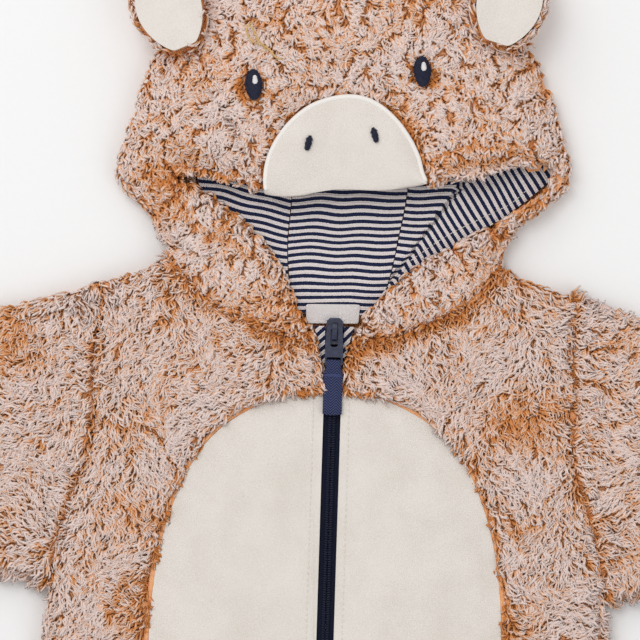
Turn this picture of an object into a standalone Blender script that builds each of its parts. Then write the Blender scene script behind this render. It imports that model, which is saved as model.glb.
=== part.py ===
"""A baby's hooded fleece pramsuit, laid face up on a flat surface.

The zip runs along +Y towards the hood, +X is to the right as seen from above and +Z points up at the
viewer. Plan tables are in millimetres from the top of the zip: x to the right of the zip, up towards the
hood. The origin is below the middle of the garment's plan, on the surface that it lies on. The cloth is
deep pile fleece, so its walls reach as far as the tips of the pile.
"""

import math
from collections import namedtuple

import bmesh
import bpy
from mathutils import Vector
from mathutils.bvhtree import BVHTree

MM = 0.001

# Plan of the whole garment
EAR_TIP_UP = 204.0
HEM_UP = -612.0
MIDDLE_UP = (EAR_TIP_UP + HEM_UP) / 2
SEAM_GAP = 0.5  # between two pieces that are sewn edge to edge, along their rows

# Heights of the layers, from the surface up
BACK_PILE = 6.5  # the back's fleece, its pile pressed flat
FRONT_LOW = 9.2  # the underside of every upper layer
FRONT_PILE = 8.3  # the front's fleece, with its pile standing
FOLD_LEVEL = 7.85  # where an upper layer meets a lower one round an edge
LAYER_GAP = 0.3
EDGE_REACH = 9.0  # how far in from an outline its rounding goes
EDGE_RISE = 5.0
EDGE_DROP = 6.3
SEAM_REACH = 6.0
SEAM_DROP = 4.0

# Thin pieces
VELOUR = 2.4
BELLY_PUFF = 2.4
BELLY_PUFF_REACH = 26.0
LINING_LOW = 7.0
JERSEY = 1.0
LABEL_THICK = 0.6
TAPE_THICK = 0.7
FACING_THICK = 1.0

# Zip
ZIP_HALF_VISIBLE = 4.5
ZIP_TAPE_OUTER = 8.0
ZIP_TOP_UP = -4.2
ZIP_END_UP = -388.0
CHAIN_HALF = 2.6
CHAIN_HIGH = 1.7
CHAIN_TOP_UP = -15.2

# Slider and pull
SLIDER_HALF = 4.7
SLIDER_LONG = 14.5
SLIDER_THICK = 3.0
ARCH_HALF = 1.3
PIVOT_UP = -5.0
PIVOT_Z = 13.7
TAB_THICK = 1.4
TAB_HALF = 5.0
PULL_HALF = 5.5
LOOP_HALF = 3.7

Row = namedtuple("Row", "outer_x outer_up inner_x inner_up lift")
Piece = namedtuple("Piece", "colour roughness metallic")

FLEECE = Piece((0.62, 0.42, 0.27), 1.0, 0.0)
CREAM = Piece((0.74, 0.69, 0.60), 1.0, 0.0)
STRIPED = Piece((0.33, 0.34, 0.42), 0.9, 0.0)
NAVY_TAPE = Piece((0.02, 0.03, 0.09), 0.8, 0.0)
NAVY_METAL = Piece((0.02, 0.03, 0.08), 0.35, 0.2)
NAVY_THREAD = Piece((0.015, 0.02, 0.06), 0.6, 0.0)

# One front, from the neck to the ankle: shoulder, armhole and side outside, and the neck seam, the zip,
# the belly panel's edge, the zip again and the inside leg inside.
FRONT_ROWS = [
    Row(93.0, 29.8, 89.0, 28.0, 0),
    Row(104.0, 26.0, 80.0, 17.5, 0),
    Row(117.0, 21.8, 72.0, 8.0, 0),
    Row(130.0, 17.0, 52.0, -0.5, 0),
    Row(130.0, 1.0, 32.0, -9.5, 0),
    Row(130.0, -13.0, 8.5, -15.5, 0),
    Row(130.0, -26.0, 6.8, -28.0, 0),
    Row(130.0, -38.0, 6.0, -40.0, 0),
    Row(130.0, -49.0, 22.0, -42.0, 0),
    Row(130.0, -60.0, 38.5, -47.8, 0),
    Row(131.3, -70.0, 54.5, -56.5, 0),
    Row(133.0, -80.0, 67.4, -67.7, 0),
    Row(137.0, -94.0, 76.5, -81.0, 0),
    Row(142.5, -107.0, 84.5, -99.0, 0),
    Row(146.5, -127.0, 91.6, -121.3, 0),
    Row(155.0, -151.0, 95.9, -146.0, 0),
    Row(157.0, -182.0, 98.0, -180.0, 0),
    Row(158.5, -215.0, 96.5, -215.0, 0),
    Row(159.5, -250.0, 90.0, -250.0, 0),
    Row(160.0, -285.0, 76.0, -282.0, 0),
    Row(160.0, -320.0, 54.0, -304.0, 0),
    Row(159.5, -345.0, 28.0, -315.0, 0),
    Row(158.0, -370.0, 6.0, -318.0, 0),
    Row(155.5, -400.0, 5.5, -362.0, 0),
    Row(153.5, -418.0, 4.2, -395.0, 0),
    Row(152.2, -434.0, 3.0, -406.0, 0),
    Row(150.0, -462.0, 20.0, -424.0, 0),
    Row(147.0, -500.0, 36.0, -462.0, 0),
    Row(143.0, -556.0, 45.0, -530.0, 0),
    Row(139.0, -612.0, 51.0, -612.0, 0),
]
ARMHOLE_ROWS = (3, 6, 9, 10, 11, 12, 13, 14, 15)  # the rows whose outer ends shape the armhole
SHOULDER_ROWS = slice(0, 4)
SIDE_ROWS = slice(15, 30)
BELLY_ROWS = slice(7, 23)
INSEAM_ROWS = slice(25, 30)

# One half of the back, from the neck to the ankle
BACK_ROWS = [
    Row(93.0, 29.8, 89.0, 28.0, 0),
    Row(112.0, 23.3, 62.0, 17.4, 0),
    Row(130.0, 17.0, 32.0, 10.2, 0),
    Row(130.0, -5.0, 0.0, 7.5, 0),
    Row(130.0, -32.0, 0.0, -28.0, 0),
    Row(130.0, -60.0, 0.0, -58.0, 0),
    Row(133.0, -80.0, 0.0, -80.0, 0),
    Row(137.0, -94.0, 0.0, -95.0, 0),
    Row(142.5, -107.0, 0.0, -109.0, 0),
    Row(146.5, -127.0, 0.0, -128.0, 0),
    Row(155.0, -151.0, 0.0, -151.0, 0),
    Row(158.0, -200.0, 0.0, -200.0, 0),
    Row(160.0, -260.0, 0.0, -260.0, 0),
    Row(160.0, -330.0, 0.0, -330.0, 0),
    Row(156.5, -390.0, 0.0, -385.0, 0),
    Row(152.5, -430.0, 2.0, -412.0, 0),
    Row(150.0, -462.0, 20.0, -424.0, 0),
    Row(147.0, -500.0, 36.0, -462.0, 0),
    Row(143.0, -556.0, 45.0, -530.0, 0),
    Row(139.0, -612.0, 51.0, -612.0, 0),
]

# The sleeve's open end
CUFF_TOP = (361.0, -49.6)
CUFF_UNDER = (352.0, -133.0)
SLEEVE_STEPS = (0.0, 0.03, 0.1, 0.24, 0.4, 0.56, 0.72, 0.88, 1.0)

# The hood's upper layer as one band, from the zip up the left side, over the face and down the right side.
# Outer is the neck seam and then the outline, inner the opening's edge and the muzzle's rim, and lift is how
# far the inner edge stands above a layer that lies flat.
HOOD_ROWS = [
    Row(-8.5, -15.5, -12.5, -3.0, 0.5),
    Row(-20.0, -12.2, -17.3, 2.0, 0.5),
    Row(-32.0, -9.5, -20.5, 11.0, 0.5),
    Row(-52.0, -0.5, -27.2, 26.7, 0.5),
    Row(-72.0, 8.0, -34.7, 37.4, 0.5),
    Row(-80.0, 17.5, -44.5, 49.0, 0.5),
    Row(-89.0, 28.0, -51.0, 55.2, 0.5),
    Row(-93.5, 34.0, -57.5, 60.4, 0.5),
    Row(-98.6, 41.5, -62.8, 64.2, 0.5),
    Row(-102.5, 50.5, -68.2, 67.6, 0.5),
    Row(-109.2, 58.8, -74.0, 70.6, 0.5),
    Row(-117.5, 63.5, -80.0, 72.8, 0.5),
    Row(-124.2, 70.6, -85.6, 74.0, 0.5),
    Row(-125.2, 79.0, -86.8, 75.4, 0.8),
    Row(-122.0, 91.0, -84.6, 76.8, 1.6),
    Row(-118.0, 106.0, -77.0, 76.6, 4.0),
    Row(-113.2, 122.0, -68.0, 74.6, 6.5),
    Row(-106.6, 138.7, -57.7, 71.4, 9.0),
    Row(-100.0, 154.3, -48.6, 70.0, 11.0),
    Row(-90.0, 169.5, -41.6, 71.6, 12.0),
    Row(-76.0, 182.0, -41.4, 80.5, 12.5),
    Row(-60.5, 190.6, -39.1, 89.8, 13.0),
    Row(-45.0, 195.6, -34.5, 99.0, 13.0),
    Row(-30.0, 198.4, -27.6, 108.0, 13.0),
    Row(-15.0, 199.6, -17.4, 116.4, 13.0),
    Row(0.0, 200.0, -4.4, 121.4, 13.0),
    Row(15.0, 199.6, 8.6, 122.4, 13.0),
    Row(29.5, 198.4, 20.4, 118.4, 13.0),
    Row(44.5, 196.0, 31.0, 109.8, 13.0),
    Row(59.5, 191.8, 38.7, 99.7, 13.0),
    Row(74.5, 184.4, 43.8, 89.8, 12.5),
    Row(88.0, 173.0, 46.3, 81.0, 12.0),
    Row(99.0, 159.6, 48.5, 75.4, 12.0),
    Row(110.6, 144.0, 58.0, 75.2, 11.5),
    Row(117.4, 127.4, 70.0, 77.4, 10.0),
    Row(122.4, 111.4, 83.0, 81.2, 8.0),
    Row(126.6, 97.6, 96.0, 85.0, 5.5),
    Row(129.3, 89.4, 107.0, 87.8, 3.0),
    Row(130.2, 84.2, 113.6, 86.4, 1.6),
    Row(129.9, 80.0, 115.4, 80.8, 0.8),
    Row(128.0, 75.4, 113.8, 75.0, 0.5),
    Row(123.4, 70.0, 107.0, 69.0, 0.5),
    Row(115.4, 63.3, 98.0, 62.4, 0.5),
    Row(106.0, 56.6, 87.0, 56.8, 0.5),
    Row(98.8, 51.5, 75.0, 50.4, 0.5),
    Row(96.0, 43.5, 64.0, 44.2, 0.5),
    Row(92.8, 35.8, 54.0, 38.8, 0.5),
    Row(89.0, 28.0, 44.2, 33.2, 0.5),
    Row(80.0, 17.5, 35.0, 25.3, 0.5),
    Row(72.0, 8.0, 29.0, 19.3, 0.5),
    Row(52.0, -0.5, 23.4, 13.4, 0.5),
    Row(32.0, -9.5, 17.6, 7.6, 0.5),
    Row(20.0, -12.2, 14.8, 2.4, 0.5),
    Row(8.5, -15.5, 11.8, -3.2, 0.5),
]
LEFT_SIDE_ROWS = slice(0, 20)
FACE_ROWS = slice(19, 33)
RIGHT_SIDE_ROWS = slice(32, 54)
HOOD_OUTLINE_ROWS = slice(6, 48)

# The hood's lower layer in rows across it, with the dip of each row's middle towards the neck
HOOD_BACK_ROWS = [
    Row(-25.0, 198.8, 25.0, 198.8, 0),
    Row(-60.5, 190.6, 59.5, 191.8, 0),
    Row(-76.0, 182.0, 74.5, 184.4, 0),
    Row(-90.0, 169.5, 88.0, 173.0, 0),
    Row(-100.0, 154.3, 99.0, 159.6, 0),
    Row(-106.6, 138.7, 110.6, 144.0, 0),
    Row(-113.2, 122.0, 117.4, 127.4, 0),
    Row(-118.0, 106.0, 122.4, 111.4, 0),
    Row(-122.0, 91.0, 126.6, 97.6, 0),
    Row(-125.2, 79.0, 130.2, 84.2, 0),
    Row(-124.2, 70.6, 128.0, 75.4, 0),
    Row(-117.5, 63.5, 115.4, 63.3, 2),
    Row(-104.0, 54.0, 100.0, 52.5, 6),
    Row(-98.0, 42.0, 95.5, 42.5, 12),
    Row(-89.5, 29.4, 89.5, 29.4, 20.6),
]

# The muzzle's lower edge, paired with the rows of the face from left to right
MUZZLE_LOWER = [
    (-40.6, 66.4), (-37.0, 65.6), (-32.0, 65.3), (-26.0, 65.4), (-19.0, 66.4), (-11.5, 68.4), (-4.0, 69.9),
    (4.0, 70.4), (12.0, 70.2), (20.0, 70.0), (28.0, 70.7), (35.0, 71.9), (41.0, 73.2), (46.0, 74.2),
]
MUZZLE_RIM = 4.6
MUZZLE_DOME = 3.4

# The three pieces of the hood's lining, from under the face to the neck: one edge, then the other
LINING_LEFT_ROWS = [
    Row(-75.0, 96.0, -26.0, 96.0, 0),
    Row(-80.0, 79.0, -25.6, 79.0, 0),
    Row(-77.0, 68.0, -25.8, 63.0, 0),
    Row(-66.0, 56.0, -26.8, 51.0, 0),
    Row(-56.0, 46.0, -27.6, 42.0, 0),
    Row(-42.0, 24.0, -26.6, 22.0, 0),
    Row(-33.0, 3.0, -23.0, 2.0, 0),
]
LINING_RIGHT_ROWS = [
    Row(116.0, 95.0, 40.0, 95.0, 0),
    Row(118.0, 81.0, 38.6, 78.0, 0),
    Row(105.8, 69.0, 37.0, 63.0, 0),
    Row(88.0, 55.4, 34.8, 51.0, 0),
    Row(76.0, 48.0, 33.6, 45.0, 0),
    Row(64.0, 28.0, 30.0, 22.0, 0),
    Row(38.0, 4.0, 23.0, 2.0, 0),
]

# Embroidered features: middle, half sizes and turn
EYES = {"eye_left": (-48.5, 126.2), "eye_right": (43.5, 136.2)}
EYE_HALF = (4.8, 8.4)
EYE_TURN = math.radians(6.0)
EYE_THICK = 1.4
STITCH_GAP = 0.6  # under an oval, whose facets and its carrier's don't quite agree
EYE_HOLLOW = 3.0
EYE_HOLLOW_REACH = 13.0
NOSTRILS = {"nostril_left": (-17.5, 95.2, -0.2), "nostril_right": (18.6, 100.7, 0.3)}
NOSTRIL_HALF = (2.1, 4.3)
NOSTRIL_THICK = 0.8

# Ears: middle of the base and direction in degrees from +X
EARS = {"left": (-85.4, 143.0, 114.0), "right": (82.7, 150.2, 74.0)}
EAR_LONG = 53.63
EAR_HALF = 21.0
EAR_SLOPE = -0.16
EAR_CUP = 3.0
EAR_FLEECE = 5.0
EAR_MARGIN = 3.0  # of fleece round the cream front
EAR_GAP = 0.3
EAR_STEPS = 9
EAR_COLUMNS = 6

# The label under the neck, and the facings that show beside the top of the zip
LABEL_ROWS = [Row(-16.2, 7.2, 13.6, 7.8, 0), Row(-15.6, -3.4, 13.0, -2.8, 0)]
FACING_ROWS = {
    "zip_facing_left": [
        Row(-11.4, -4.6, -5.2, -4.6, 0), Row(-8.1, -16.0, -5.0, -16.0, 0), Row(-6.3, -28.0, -4.9, -28.0, 0),
    ],
    "zip_facing_right": [
        Row(10.8, -4.6, 5.2, -4.6, 0), Row(8.1, -15.0, 5.0, -15.0, 0), Row(6.6, -22.0, 5.0, -22.0, 0),
    ],
}


def clear_scene():
    for obj in list(bpy.data.objects):
        bpy.data.objects.remove(obj, do_unlink=True)


def make_collection(name):
    collection = bpy.data.collections.new(name)
    bpy.context.scene.collection.children.link(collection)
    return collection


def make_material(name, piece):
    material = bpy.data.materials.new(name)
    material.use_nodes = True
    shader = material.node_tree.nodes["Principled BSDF"]
    shader.inputs["Base Color"].default_value = (*piece.colour, 1.0)
    shader.inputs["Roughness"].default_value = piece.roughness
    shader.inputs["Metallic"].default_value = piece.metallic
    return material


def to_world(x, up, z):
    """A point of the plan, at a height, in metres about the origin."""
    return Vector((x, up - MIDDLE_UP, z)) * MM


def ease(value):
    value = min(max(value, 0.0), 1.0)
    return value * value * (3 - 2 * value)


def mix(first, second, share):
    return first + (second - first) * share


def mix_points(first, second, share):
    return (mix(first[0], second[0], share), mix(first[1], second[1], share))


def distance_to_segment(point, start, end):
    along_x, along_y = end[0] - start[0], end[1] - start[1]
    length_squared = along_x * along_x + along_y * along_y
    share = ((point[0] - start[0]) * along_x + (point[1] - start[1]) * along_y) / length_squared
    share = min(max(share, 0.0), 1.0)
    return math.hypot(point[0] - start[0] - share * along_x, point[1] - start[1] - share * along_y)


def outer_ends(rows, side=1):
    return [(side * row.outer_x, row.outer_up) for row in rows]


def inner_ends(rows, side=1):
    return [(side * row.inner_x, row.inner_up) for row in rows]


def fold_lines():
    """The outlines where an upper layer turns under into a lower one."""
    lines = [outer_ends(HOOD_ROWS[HOOD_OUTLINE_ROWS])]
    for side in (-1, 1):
        lines.append(outer_ends(FRONT_ROWS[SHOULDER_ROWS], side))
        lines.append(outer_ends(FRONT_ROWS[SIDE_ROWS], side))
        lines.append(inner_ends(FRONT_ROWS[INSEAM_ROWS], side))
    return lines


FOLD_LINES = fold_lines()


def fold_distance(point):
    return min(
        distance_to_segment(point, start, end)
        for line in FOLD_LINES
        for start, end in zip(line, line[1:])
    )


def near(distance, reach):
    """One at an edge, and none from its reach on inwards."""
    return max(0.0, 1.0 - distance / reach)


def back_low(point):
    return EDGE_RISE * near(fold_distance(point), EDGE_REACH) ** 2


def back_high(point):
    rise = FOLD_LEVEL - LAYER_GAP / 2 - BACK_PILE
    return BACK_PILE + rise * near(fold_distance(point), EDGE_REACH)


def front_low(point):
    drop = FRONT_LOW - FOLD_LEVEL - LAYER_GAP / 2
    return FRONT_LOW - drop * near(fold_distance(point), EDGE_REACH)


def front_high(point, edge_distance):
    at_fold = EDGE_DROP * near(fold_distance(point), EDGE_REACH) ** 2
    at_seam = SEAM_DROP * near(edge_distance, SEAM_REACH) ** 2
    return front_low(point) + FRONT_PILE - max(at_fold, at_seam)


def stations(width, middle, folds):
    """Distances from a row's outer end: close together at its ends, most at a fold, and even between them."""
    at_fold = [0.0, min(3.0, 0.1 * width), min(8.0, 0.24 * width)]
    at_seam = [0.0, min(3.0, 0.1 * width)]
    last = [width - station for station in reversed(at_fold if folds == 2 else at_seam)]
    steps = [mix(at_fold[-1], last[0], (i + 1) / (middle + 1)) for i in range(middle)]
    return at_fold + steps + last


def across(row, side, middle, folds=1, dip=0.0):
    """Plan points along a row from its outer end, each with its distance from the nearer end and its share."""
    start, end = (side * row.outer_x, row.outer_up), (side * row.inner_x, row.inner_up)
    width = math.dist(start, end)
    points = []
    for station in stations(width, middle, folds):
        kept = min(max(station, SEAM_GAP / 2), width - SEAM_GAP / 2)
        share = kept / width
        x, up = mix_points(start, end, share)
        sag = dip * 4 * share * (1 - share)
        points.append(((x, up - sag), min(station, width - station), share))
    return points


def nudge_row(rows, index, towards):
    """A row moved a little towards its neighbour, which leaves a seam's gap beside it."""
    row, other = rows[index], rows[towards]
    outer_step = math.dist((row.outer_x, row.outer_up), (other.outer_x, other.outer_up))
    inner_step = math.dist((row.inner_x, row.inner_up), (other.inner_x, other.inner_up))
    outer = mix_points((row.outer_x, row.outer_up), (other.outer_x, other.outer_up), SEAM_GAP / 2 / outer_step)
    inner = mix_points((row.inner_x, row.inner_up), (other.inner_x, other.inner_up), SEAM_GAP / 2 / inner_step)
    return Row(*outer, *inner, row.lift)


def make_object(name, mesh, collection, material):
    obj = bpy.data.objects.new(name, mesh)
    obj.data.materials.append(material)
    collection.objects.link(obj)
    return obj


def close_mesh(name, shape):
    """The bmesh as a mesh with its faces pointing out."""
    bmesh.ops.recalc_face_normals(shape, faces=shape.faces)
    bmesh.ops.triangulate(shape, faces=shape.faces)
    mesh = bpy.data.meshes.new(name)
    shape.to_mesh(mesh)
    shape.free()
    mesh.shade_smooth()
    mesh.set_sharp_from_angle(angle=math.radians(50))
    return mesh


def wall(name, low_grid, high_grid, collection, material):
    """A closed wall between two grids of points that lie over each other."""
    shape = bmesh.new()
    layers = []
    for grid in (low_grid, high_grid):
        layers.append([[shape.verts.new(point) for point in line] for line in grid])
    rows, columns = len(low_grid), len(low_grid[0])
    for layer in layers:
        for i in range(rows - 1):
            for j in range(columns - 1):
                shape.faces.new((layer[i][j], layer[i][j + 1], layer[i + 1][j + 1], layer[i + 1][j]))
    border = [(i, 0) for i in range(rows)] + [(rows - 1, j) for j in range(1, columns)]
    border += [(i, columns - 1) for i in range(rows - 2, -1, -1)] + [(0, j) for j in range(columns - 2, 0, -1)]
    low, high = layers
    for (i, j), (k, m) in zip(border, border[1:] + border[:1]):
        shape.faces.new((low[i][j], low[k][m], high[k][m], high[i][j]))
    return make_object(name, close_mesh(name, shape), collection, material)


def panel(name, rows, side, middle, heights, collection, material):
    """A piece of cloth made from its rows: heights(point, edge distance, share, row) gives its two faces."""
    low_grid, high_grid = [], []
    for row in rows:
        low_line, high_line = [], []
        for point, edge_distance, share in across(row, side, middle):
            low, high = heights(point, edge_distance, share, row)
            low_line.append(to_world(*point, low))
            high_line.append(to_world(*point, high))
        low_grid.append(low_line)
        high_grid.append(high_line)
    return wall(name, low_grid, high_grid, collection, material)


def front_heights(point, edge_distance, share, row):
    return front_low(point), front_high(point, edge_distance)


def back_heights(point, edge_distance, share, row):
    return back_low(point), back_high(point)


def hood_heights(point, edge_distance, share, row):
    """The hood's upper layer rises from its outline to its opening's edge."""
    rise = row.lift * math.sin(math.pi / 2 * min(1.0, 1.5 * share))
    rise += 0.25 * row.lift * math.sin(math.pi * share)
    hollow = sum(
        EYE_HOLLOW * near(math.dist(point, eye), EYE_HOLLOW_REACH) ** 0.5 for eye in EYES.values()
    )
    return front_low(point) + rise, front_high(point, edge_distance) + rise - hollow


def belly_heights(point, edge_distance, share, row):
    puff = BELLY_PUFF * ease(edge_distance / BELLY_PUFF_REACH)
    return FRONT_LOW + puff, FRONT_LOW + puff + VELOUR


def muzzle_heights(point, edge_distance, share, row):
    low = FRONT_LOW + row.lift + 0.6
    dome = MUZZLE_DOME * math.sin(math.pi * share) ** 0.6
    return low, low + MUZZLE_RIM + dome


def flat_heights(low, thickness):
    def heights(point, edge_distance, share, row):
        return low, low + thickness

    return heights


def make_fronts(collection, fleece, cream):
    for side, name in ((-1, "left"), (1, "right")):
        panel("front_" + name, FRONT_ROWS, side, 3, front_heights, collection, fleece)
        rows = []
        for row in FRONT_ROWS[BELLY_ROWS]:
            inner_up = row.inner_up
            rows.append(Row(row.inner_x, row.inner_up, ZIP_HALF_VISIBLE, inner_up, 0))
        rows[0] = Row(ZIP_HALF_VISIBLE + 4.0, -41.2, ZIP_HALF_VISIBLE, -41.0, 0)
        rows[-1] = Row(ZIP_HALF_VISIBLE + 4.0, -317.0, ZIP_HALF_VISIBLE, -317.2, 0)
        panel("belly_" + name, rows, side, 3, belly_heights, collection, cream)


def make_backs(collection, fleece):
    for side, name in ((-1, "left"), (1, "right")):
        panel("back_" + name, BACK_ROWS, side, 3, back_heights, collection, fleece)


def sleeve_lines(side):
    """The plan lines across the sleeve, from the armhole to the cuff."""
    armhole = [(FRONT_ROWS[i].outer_x, FRONT_ROWS[i].outer_up) for i in ARMHOLE_ROWS]
    ends = ((armhole[0], armhole[1]), (armhole[-1], armhole[-2]))
    extra = []
    for start, after in ends:
        length = math.dist(start, after)
        extra.append([mix_points(start, after, 3.0 / length), mix_points(start, after, 8.0 / length)])
    line = [armhole[0], *extra[0], *armhole[1:-1], *reversed(extra[1]), armhole[-1]]
    travelled = [0.0]
    for first, second in zip(line, line[1:]):
        travelled.append(travelled[-1] + math.dist(first, second))
    shares = [value / travelled[-1] for value in travelled]
    lines = []
    for step in SLEEVE_STEPS:
        row = []
        for point, share in zip(line, shares):
            x, up = mix_points(point, mix_points(CUFF_TOP, CUFF_UNDER, share), step)
            row.append((side * (x + SEAM_GAP), up))
        lines.append(row)
    return lines


def sleeve_ring(line, seam_distance):
    """The sleeve's outside and inside round one line across it, as two loops of points."""
    above, below, inside_above, inside_below = [], [], [], []
    for point in line:
        distance = min(math.dist(point, line[0]), math.dist(point, line[-1]))
        at_fold = EDGE_DROP * near(distance, EDGE_REACH) ** 2
        at_seam = SEAM_DROP * near(seam_distance, SEAM_REACH) ** 2
        above.append(to_world(*point, FRONT_LOW + FRONT_PILE - max(at_fold, at_seam)))
        below.append(to_world(*point, EDGE_RISE * near(distance, EDGE_REACH) ** 2))
    width = math.dist(line[0], line[-1])
    inset = EDGE_REACH / width
    middle = mix_points(line[0], line[-1], 0.5)
    for point in line:
        x, up = mix_points(point, middle, 2 * inset)
        inside_above.append(to_world(x, up, FRONT_LOW))
        inside_below.append(to_world(x, up, BACK_PILE))
    outside = above + below[::-1]
    inside = inside_above + inside_below[::-1]
    return outside, inside


def make_sleeve(name, side, collection, fleece):
    lines = sleeve_lines(side)
    rings = [sleeve_ring(line, math.dist(line[4], lines[0][4])) for line in lines]
    shape = bmesh.new()
    loops = [[[shape.verts.new(point) for point in loop] for loop in ring] for ring in rings]
    count = len(loops[0][0])
    for first, second in zip(loops, loops[1:]):
        for kind in (0, 1):
            for i in range(count):
                j = (i + 1) % count
                shape.faces.new((first[kind][i], first[kind][j], second[kind][j], second[kind][i]))
    for outside, inside in (loops[0], loops[-1]):
        for i in range(count):
            j = (i + 1) % count
            shape.faces.new((outside[i], outside[j], inside[j], inside[i]))
    return make_object(name, close_mesh(name, shape), collection, fleece)


def make_hood(collection, fleece):
    left = list(HOOD_ROWS[LEFT_SIDE_ROWS])
    face = list(HOOD_ROWS[FACE_ROWS])
    right = list(HOOD_ROWS[RIGHT_SIDE_ROWS])
    left[-1] = nudge_row(left, -1, -2)
    right[0] = nudge_row(right, 0, 1)
    face[0], face[-1] = nudge_row(face, 0, 1), nudge_row(face, -1, -2)
    panel("hood_side_left", left, 1, 2, hood_heights, collection, fleece)
    panel("hood_side_right", right, 1, 2, hood_heights, collection, fleece)
    upper = panel("hood_face", face, 1, 4, hood_heights, collection, fleece)
    low_grid, high_grid = [], []
    for row in HOOD_BACK_ROWS:
        points = [point for point, _, _ in across(row, 1, 4, 2, row.lift)]
        low_grid.append([to_world(*point, back_low(point)) for point in points])
        high_grid.append([to_world(*point, back_high(point)) for point in points])
    wall("hood_back", low_grid, high_grid, collection, fleece)
    return upper


def make_lining(collection, striped):
    centre = [
        Row(left.inner_x, left.inner_up, right.inner_x, right.inner_up, 0)
        for left, right in zip(LINING_LEFT_ROWS, LINING_RIGHT_ROWS)
    ]
    for name, rows in (("left", LINING_LEFT_ROWS), ("centre", centre), ("right", LINING_RIGHT_ROWS)):
        panel("hood_lining_" + name, rows, 1, 2, flat_heights(LINING_LOW, JERSEY), collection, striped)


def make_muzzle(collection, cream):
    rows = [
        Row(face.inner_x, face.inner_up, *lower, face.lift)
        for face, lower in zip(HOOD_ROWS[FACE_ROWS], MUZZLE_LOWER)
    ]
    return panel("muzzle", rows, 1, 2, muzzle_heights, collection, cream)


def surface_height(obj, point):
    """How high the top of an object is over a point of the plan, in millimetres, or 0 beside the object."""
    tree = BVHTree.FromPolygons(
        [vertex.co for vertex in obj.data.vertices], [face.vertices for face in obj.data.polygons]
    )
    hit = tree.ray_cast(to_world(*point, 100.0), Vector((0, 0, -1)))[0]
    return hit.z / MM if hit else 0.0


def make_oval(name, carrier, middle, half, turn, thickness, collection, material):
    """A low embroidered oval that lies on the surface of the piece that carries it."""
    spokes, rings = 14, (1.0, 0.6)
    shape = bmesh.new()
    faces = []
    for top in (False, True):
        loops = []
        for ring in rings:
            loop = []
            for i in range(spokes):
                angle = 2 * math.pi * i / spokes
                local_x, local_up = ring * half[0] * math.cos(angle), ring * half[1] * math.sin(angle)
                point = (
                    middle[0] + local_x * math.cos(turn) - local_up * math.sin(turn),
                    middle[1] + local_x * math.sin(turn) + local_up * math.cos(turn),
                )
                raised = thickness * (1.0 if ring < 1 else 0.6) if top else 0.0
                height = surface_height(carrier, point) + STITCH_GAP + raised
                loop.append(shape.verts.new(to_world(*point, height)))
            loops.append(loop)
        height = surface_height(carrier, middle) + STITCH_GAP + (thickness if top else 0.0)
        centre = shape.verts.new(to_world(*middle, height))
        faces.append((loops, centre))
    for loops, centre in faces:
        for i in range(spokes):
            j = (i + 1) % spokes
            shape.faces.new((loops[0][i], loops[0][j], loops[1][j], loops[1][i]))
            shape.faces.new((loops[1][i], loops[1][j], centre))
    for i in range(spokes):
        j = (i + 1) % spokes
        shape.faces.new((faces[0][0][0][i], faces[0][0][0][j], faces[1][0][0][j], faces[1][0][0][i]))
    return make_object(name, close_mesh(name, shape), collection, material)


def ear_grid(base, shrink):
    """An ear's points from its pinched base to its rounded tip, cupped along its middle, over its base."""
    direction = math.radians(base[2])
    along = (math.cos(direction), math.sin(direction))
    grid = []
    for i in range(EAR_STEPS + 1):
        share = i / EAR_STEPS
        distance = shrink + share * (EAR_LONG - 2 * shrink)
        half = (EAR_HALF - shrink) * math.sin(math.pi * (0.07 + 0.86 * share)) ** 0.62
        line = []
        for j in range(EAR_COLUMNS + 1):
            offset = half * (2 * j / EAR_COLUMNS - 1)
            x = base[0] + along[0] * distance - along[1] * offset
            up = base[1] + along[1] * distance + along[0] * offset
            line.append((x, up, EAR_SLOPE * distance + EAR_CUP * (offset / EAR_HALF) ** 2))
        grid.append(line)
    return grid


def make_ear(name, grid, low, thickness, collection, material):
    low_grid = [[to_world(x, up, low + height) for x, up, height in line] for line in grid]
    high_grid = [[to_world(x, up, low + thickness + height) for x, up, height in line] for line in grid]
    return wall(name, low_grid, high_grid, collection, material)


def make_ears(carrier, collection, fleece, cream):
    """Each ear rests on the hood's face at its base, and its cream front lies on its fleece back."""
    for name, base in EARS.items():
        grid = ear_grid(base, 0.0)
        low = max(
            surface_height(carrier, (x, up)) - height for line in grid for x, up, height in line
        ) + EAR_GAP
        make_ear("ear_back_" + name, grid, low, EAR_FLEECE, collection, fleece)
        inner_low = low + EAR_FLEECE + LAYER_GAP
        make_ear("ear_front_" + name, ear_grid(base, EAR_MARGIN), inner_low, VELOUR, collection, cream)


def zip_rows(inner, outer, top_up, end_up, steps):
    rows = []
    for i in range(steps + 1):
        up = mix(top_up, end_up, i / steps)
        rows.append(Row(outer, up, inner, up, 0))
    return rows


def strip(name, rows, side, low, thickness, collection, material):
    """A flat strip of cloth: two edges and a constant thickness."""
    low_grid, high_grid = [], []
    for row in rows:
        ends = ((side * row.outer_x, row.outer_up), (side * row.inner_x, row.inner_up))
        low_grid.append([to_world(*end, low) for end in ends])
        high_grid.append([to_world(*end, low + thickness) for end in ends])
    return wall(name, low_grid, high_grid, collection, material)


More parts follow.
